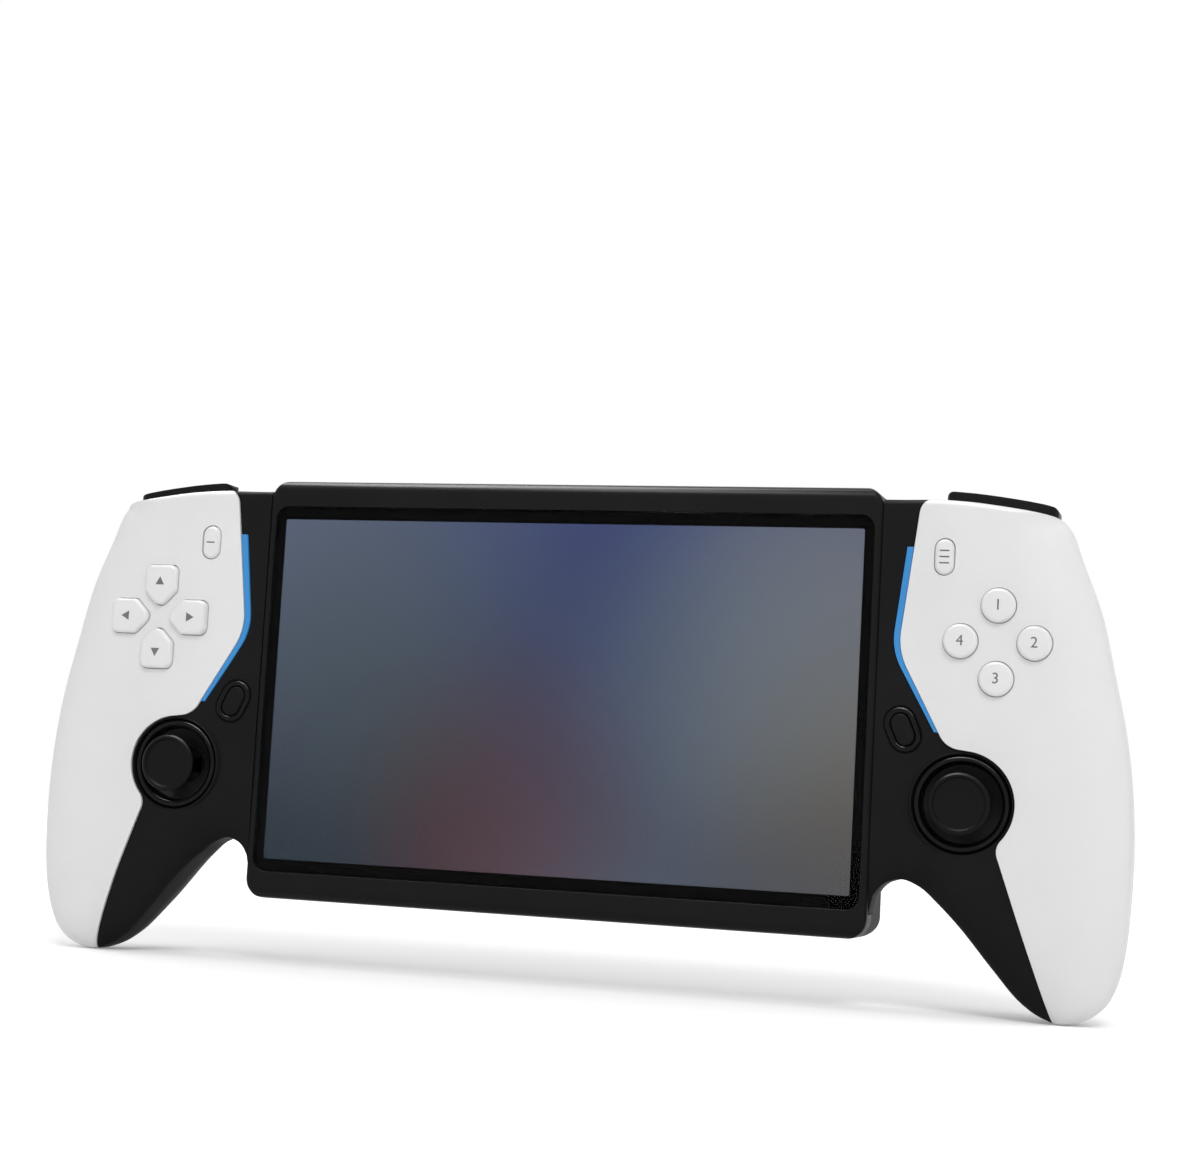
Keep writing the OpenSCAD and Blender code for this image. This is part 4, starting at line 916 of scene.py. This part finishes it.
dpad_names = ["up", "right", "down", "left"]
for i in range(4):
    name = "action_" + quarters[i]
    cap = key("action_cap_" + quarters[i], action_outline(i), action_outline(i, flange_w), key_face)
    finished(cap, white_key, "white_key", name, name)
    middle = pad_at + quarter(i, (0, pad_spread))
    digit("action_mark_" + quarters[i], str(i + 1), middle.x, middle.y, name)
for i in range(4):
    name = "dpad_" + dpad_names[-i % 4]
    right_key = key(name + "_right", dpad_outline(i), dpad_outline(i, flange_w), key_face)
    cap = mirrored(right_key, name + "_cap")
    bpy.data.objects.remove(right_key)
    finished(cap, white_key, "white_key", name, name)
    triangle = [pad_at + quarter(i, p) for p in arrow]
    mark("dpad_mark_" + dpad_names[-i % 4], [(-p.x, p.y) for p in triangle], key_face, name)

# Menu keys: small upright ovals, nearly flush with the white covers. One carries three printed bars,
# the other a short dash.
menu_proud = 0.2
menu_face = -crown - menu_proud
menu_flange_front = flange_front + 0.6
bar = rectangle(2.4, 0.35, 0.15, 4)
bar_step = 1.5
menu_flange = slot_outline(*menu_at, menu_size[0] + 2 * flange_w, menu_size[1] + 2 * flange_w)
menu_cap = key("menu_cap", slot_outline(*menu_at, *menu_size), menu_flange, menu_face, menu_flange_front)
pair(menu_cap, white_plastic, "white_shell", "menu_cap", "menu_key", moves=True)
for label, x, bars in (("right", menu_at[0], (1, 0, -1)), ("left", -menu_at[0], (0,))):
    for n, place in enumerate(bars):
        outline = [(x + p[0], menu_at[1] + place * bar_step + p[1]) for p in bar]
        mark(f"{label}_menu_mark_{n}", outline, menu_face, label + "_menu_key")

# Function keys: small ovals in the black of the shell, leaning towards the tablet. Each slides in a hole
# with a shallow rim round it, and presses the rubber mat that the white keys press too.
function_proud = 0.8
function_bottom = 3
function_round = 0.6
crown_at_key = front_depth(np.array([function_at[0] - 1, function_at[0], function_at[0] + 1]),
                           np.full(3, function_at[1]), wing_step)
function_slope = float(crown_at_key[2] - crown_at_key[0]) / 2
function_face = float(crown_at_key[1]) - function_proud
function_cap = plate("function_cap", function_outline(0), function_face, function_bottom)
round_edges(function_cap, function_round, 4, at_depth(function_face))
for vertex in function_cap.data.vertices:
    if vertex.co.y < at(0, function_bottom - 0.1, 0).y:
        vertex.co.y += function_slope * (vertex.co.x - function_at[0] * MM)
pair(function_cap, dark_plastic, "dark_shell", "function_cap", "function_key", moves=True)

# Thumb sticks: a rubber mushroom cap pushed on a steel stem that tilts in a gimbal inside a square module.
# A turned trim ring lies in the dark shell round the opening, and a bowl below it keeps the dust out.
stick_rubber = plastic("stick_rubber", (0.0036, 0.0036, 0.0036), (0.0048, 0.0048, 0.0048), 0.34, 0.12, 0.03,
                       specular=0.08)
black_steel = metal("black_steel", (0.02, 0.02, 0.021), 0.5, 0.15)
bowl_black = plastic("bowl_black", (0.018, 0.018, 0.019), (0.021, 0.021, 0.022), 0.36, 0.22, 0.02, 0.03)
ring_top = wing_step - crown - 0.08
stick_top = (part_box("left_stick_cap")[0].y - glass_low.y) / MM
cap_r = 7.4
cap_neck_r = 3.6
cap_bore_r = 1.95
cap_bore_top = stick_top + 2.9
neck_end = stick_top + 6.6
bowl_eye_r = 5
bowl_foot = well_bottom - 0.3
ring_mid = (ring_r + ring_hole_r) / 2
ring_half = (ring_r - ring_hole_r) / 2
ring_profile = [(ring_hole_r, ring_seat), (ring_r, ring_seat)]
ring_profile += [(ring_mid + ring_half * math.cos(a), ring_top + ring_half - ring_half * math.sin(a))
                 for a in np.linspace(0, math.pi, 24)]
cap_profile = rounded([
    [0.001, cap_bore_top, 0], [0.001, stick_top + 0.3, 0], [cap_r - 1.3, stick_top + 0.55, 0.15],
    [cap_r - 1.1, stick_top, 0.25], [cap_r - 0.5, stick_top, 0.4], [cap_r, stick_top + 0.45, 0.4],
    [cap_r, stick_top + 1.05, 0.3], [cap_r - 2.3, stick_top + 1.75, 2],
    [cap_neck_r, stick_top + 4.3, 1.2], [cap_neck_r, neck_end, 0], [cap_bore_r, neck_end, 0],
    [cap_bore_r, cap_bore_top, 0]], 8)
bowl_r = ring_hole_r - seam
bowl_profile = rounded([
    [bowl_r, ring_seat + 0.6, 0.3], [7, 3.4, 3], [bowl_eye_r, bowl_foot - 0.6, 0.3],
    [bowl_eye_r, bowl_foot, 0], [bowl_r, bowl_foot, 0]], 8)
for side, label in ((1, "right"), (-1, "left")):
    bowl = turned(label + "_stick_bowl", bowl_profile, side * stick_cx, stick_z)
    finished(bowl, bowl_black, "dark_shell", "console")
    ring = turned(label + "_trim_ring", ring_profile, side * stick_cx, stick_z)
    finished(ring, gloss_black, "dark_shell", "console", label + "_stick_ring")
    cap = turned(label + "_thumb_cap", cap_profile, side * stick_cx, stick_z)
    finished(cap, stick_rubber, "stick_rubber", label + "_stick_cap", label + "_stick_cap")
    dress(dark_plastic, label + "_stick_module", label + "_stick_gimbal")
    dress(black_steel, label + "_stick_stem")

# Shoulder buttons: a black bumper along the top edge that rocks on a pin near the tablet, and behind it
# a hooked trigger that turns on its own pin. A pressed bracket carries both pins, and a thin bridge of
# the dark shell closes the gap between the two buttons.
bumper_proud = 2.9
bumper_heel = 5.3
bumper_toe = 8.6
bumper_turn = 3
bumper_round = 0.6
bumper_base = wing_top - 12
bumper_tall = 20
trigger_round = 1.1
bridge_front = bumper_back + 0.85
bridge_t = 1.1
bridge_gap = 0.35
bridge_low = 1
bridge_foot = trigger_z + 2
bridge_round = 0.35
top_x = np.linspace(bumper_in, bumper_out, 9)
bumper_top = edge_height(top_edge, outer_x - top_x) + bumper_proud
bumper_path = [[bumper_in, wing_top - bumper_heel, 0.8]]
bumper_path += [[float(x), float(z), 1.6 if i in (0, 8) else 0]
                for i, (x, z) in enumerate(zip(top_x, bumper_top))]
bumper_path += [[bumper_out, wing_top - bumper_toe, 0.8]]
trigger_path = [
    [-2.6, 1.6, 1], [0.8, 6.6, 2], [7.5, 6.4, 4], [12.6, 1.5, 5], [14.4, -6, 8],
    [15, -13, 1.4], [12.6, -14.8, 1.2], [1.6, -12, 1], [-1.8, -2.6, 1]]
trigger_profile = [(trigger_d + p[0], trigger_z + p[1]) for p in rounded(trigger_path, 12)]


def at_rim(edge):
    """Picks the sharp edges round the top of the bumper."""
    upright = abs((edge.verts[1].co - edge.verts[0].co).normalized().z) > 0.9
    high = min(v.co.z for v in edge.verts) > at(0, 0, wing_top - 5).z
    return high and not upright and edge.calc_face_angle(0) > 0.9


def at_width(*widths):
    """Picks the edges that lie in one of these planes across the console."""
    return lambda edge: any(all(abs(v.co.x - w * MM) < 0.01 * MM for v in edge.verts) for w in widths)


bumper = plate("bumper_bar", rounded(bumper_path, 6), bumper_front, bumper_back)
bumper_plan = rounded([[bumper_in, bumper_front, bumper_turn], [bumper_out, bumper_front, bumper_turn],
                       [bumper_out, bumper_back, 1], [bumper_in, bumper_back, 5]], 8)
plan_foot = [at(p[0], p[1], bumper_base) for p in bumper_plan]
cut(bumper, prism("bumper_plan", plan_foot, (0, 0, bumper_tall * MM)), "INTERSECT")
round_edges(bumper, bumper_round, 3, at_rim)
pair(bumper, satin_black, "dark_shell", "bumper_bar", "bumper", moves=True)
trigger = side_plate("trigger_hook", trigger_profile, trigger_in, trigger_out)
round_edges(trigger, trigger_round, 4, at_width(trigger_in, trigger_out))
pair(trigger, satin_black, "dark_shell", "trigger_hook", "trigger", moves=True)
bridge_x = np.linspace(bumper_in - bridge_gap, bumper_out + bridge_gap, 13)
bridge_top = edge_height(top_edge, outer_x - bridge_x) - bridge_low
bridge_outline = [(bridge_x[-1], bridge_foot), (bridge_x[0], bridge_foot), *zip(bridge_x, bridge_top)]
bridge = plate("shoulder_bridge", bridge_outline, bridge_front, bridge_front + bridge_t)
round_edges(bridge, bridge_round, 3, at_depth(bridge_front + bridge_t))
pair(bridge, dark_plastic, "dark_shell", "shoulder_bridge")
dress(black_steel, "left_shoulder_bracket", "right_shoulder_bracket",
      "left_shoulder_pins", "right_shoulder_pins")

# Studio: a white floor and white surroundings, lit softly all round, with a large lamp above the front and
# one overhead that only shows in gloss. The camera stands where the photograph was taken.
floor_size = 6
surround_light = 0.66
floor_near, floor_far = 0.2, 1
# Strength of the painted light on the floor, near the console and from a metre away
painted_light_near, painted_light_far = 0.2, 0.6
lit_at = (0, 0, 0.06)


def in_view(nodes, links):
    """A socket that is 1 in view, in reflections and through glass, and 0 otherwise."""
    path = nodes.new("ShaderNodeLightPath")
    seen = nodes.new("ShaderNodeMath")
    seen.operation = "MAXIMUM"
    also = nodes.new("ShaderNodeMath")
    also.operation = "MAXIMUM"
    links.new(path.outputs["Is Camera Ray"], seen.inputs[0])
    links.new(path.outputs["Is Glossy Ray"], seen.inputs[1])
    links.new(seen.outputs[0], also.inputs[0])
    links.new(path.outputs["Is Transmission Ray"], also.inputs[1])
    return also.outputs[0]


world = bpy.data.worlds.new("studio")
bpy.context.scene.world = world
world.use_nodes = True
world_nodes, world_links = world.node_tree.nodes, world.node_tree.links
level = world_nodes.new("ShaderNodeMapRange")
level.inputs["To Min"].default_value = surround_light
level.inputs["To Max"].default_value = 1
surround = world_nodes["Background"]
surround.inputs["Color"].default_value = (1, 1, 1, 1)
world_links.new(in_view(world_nodes, world_links), level.inputs["Value"])
world_links.new(level.outputs["Result"], surround.inputs["Strength"])

bpy.ops.object.select_all(action="DESELECT")
bpy.ops.mesh.primitive_plane_add(size=floor_size)
floor = bpy.context.object
floor.name = "floor"
floor_white, floor_nodes, floor_links, floor_shader = new_material("floor_white")
floor_shader.inputs["Base Color"].default_value = (0.95, 0.95, 0.95, 1)
floor_shader.inputs["Roughness"].default_value = 0.9
floor_shader.inputs["Specular IOR Level"].default_value = 0
floor_shader.inputs["Emission Color"].default_value = (1, 1, 1, 1)
# Painted light on the floor: a glow seen only in view, in reflections and through glass. It grows from 0.2
# near the console to 0.6 beyond a metre, so the far floor paints white while the floor near the console
# keeps its shade.
floor_place = floor_nodes.new("ShaderNodeTexCoord")
away = floor_nodes.new("ShaderNodeVectorMath")
away.operation = "LENGTH"
spread = floor_nodes.new("ShaderNodeMapRange")
spread.inputs["From Min"].default_value = floor_near
spread.inputs["From Max"].default_value = floor_far
spread.inputs["To Min"].default_value = painted_light_near
spread.inputs["To Max"].default_value = painted_light_far
painted_light = floor_nodes.new("ShaderNodeMath")
painted_light.operation = "MULTIPLY"
floor_links.new(floor_place.outputs["Object"], away.inputs[0])
floor_links.new(away.outputs["Value"], spread.inputs["Value"])
floor_links.new(in_view(floor_nodes, floor_links), painted_light.inputs[0])
floor_links.new(spread.outputs["Result"], painted_light.inputs[1])
floor_links.new(painted_light.outputs[0], floor_shader.inputs["Emission Strength"])
floor.data.materials.append(floor_white)


def area_lamp(name, place, size, power):
    """A soft lamp aimed at the console."""
    lamp = bpy.data.lights.new(name, "AREA")
    lamp.shape = "RECTANGLE"
    lamp.size, lamp.size_y = size
    lamp.energy = power
    holder = bpy.data.objects.new(name, lamp)
    bpy.context.collection.objects.link(holder)
    holder.location = place
    holder.rotation_euler = (Vector(lit_at) - Vector(place)).to_track_quat("-Z", "Y").to_euler()
    return holder


area_lamp("key_lamp", (0.8, -1.8, 1.9), (0.9, 0.9), 23)
area_lamp("top_lamp", (0, 0, 1.2), (1, 0.4), 2)
glint_lamp = area_lamp("glint_lamp", (-0.3, -0.15, 1.15), (1.6, 0.5), 60)
glint_lamp.visible_diffuse = False

photo_w = 1179
focal_px = 2287
camera_at = (181.2, -549.3, -28.0)
yaw, pitch, roll = (math.radians(a) for a in (17.52, -5.88, 3.19))
upright = Matrix(((1, 0, 0), (0, 0, -1), (0, 1, 0)))
turn = Matrix.Rotation(pitch, 3, "X") @ Matrix.Rotation(yaw, 3, "Y")
view = Matrix.Rotation(roll, 3, "Z") @ turn @ upright
right, down, ahead = view
lens = bpy.data.cameras.new("camera")
lens.sensor_width = 36
lens.lens = focal_px / photo_w * lens.sensor_width
lens.clip_start = 0.01
camera = bpy.data.objects.new("camera", lens)
bpy.context.collection.objects.link(camera)
aim = Matrix((right, -down, -ahead)).transposed().to_4x4()
camera.matrix_world = Matrix.Translation(at(*camera_at)) @ aim
scene = bpy.context.scene
scene.camera = camera
scene.view_settings.view_transform = "Standard"
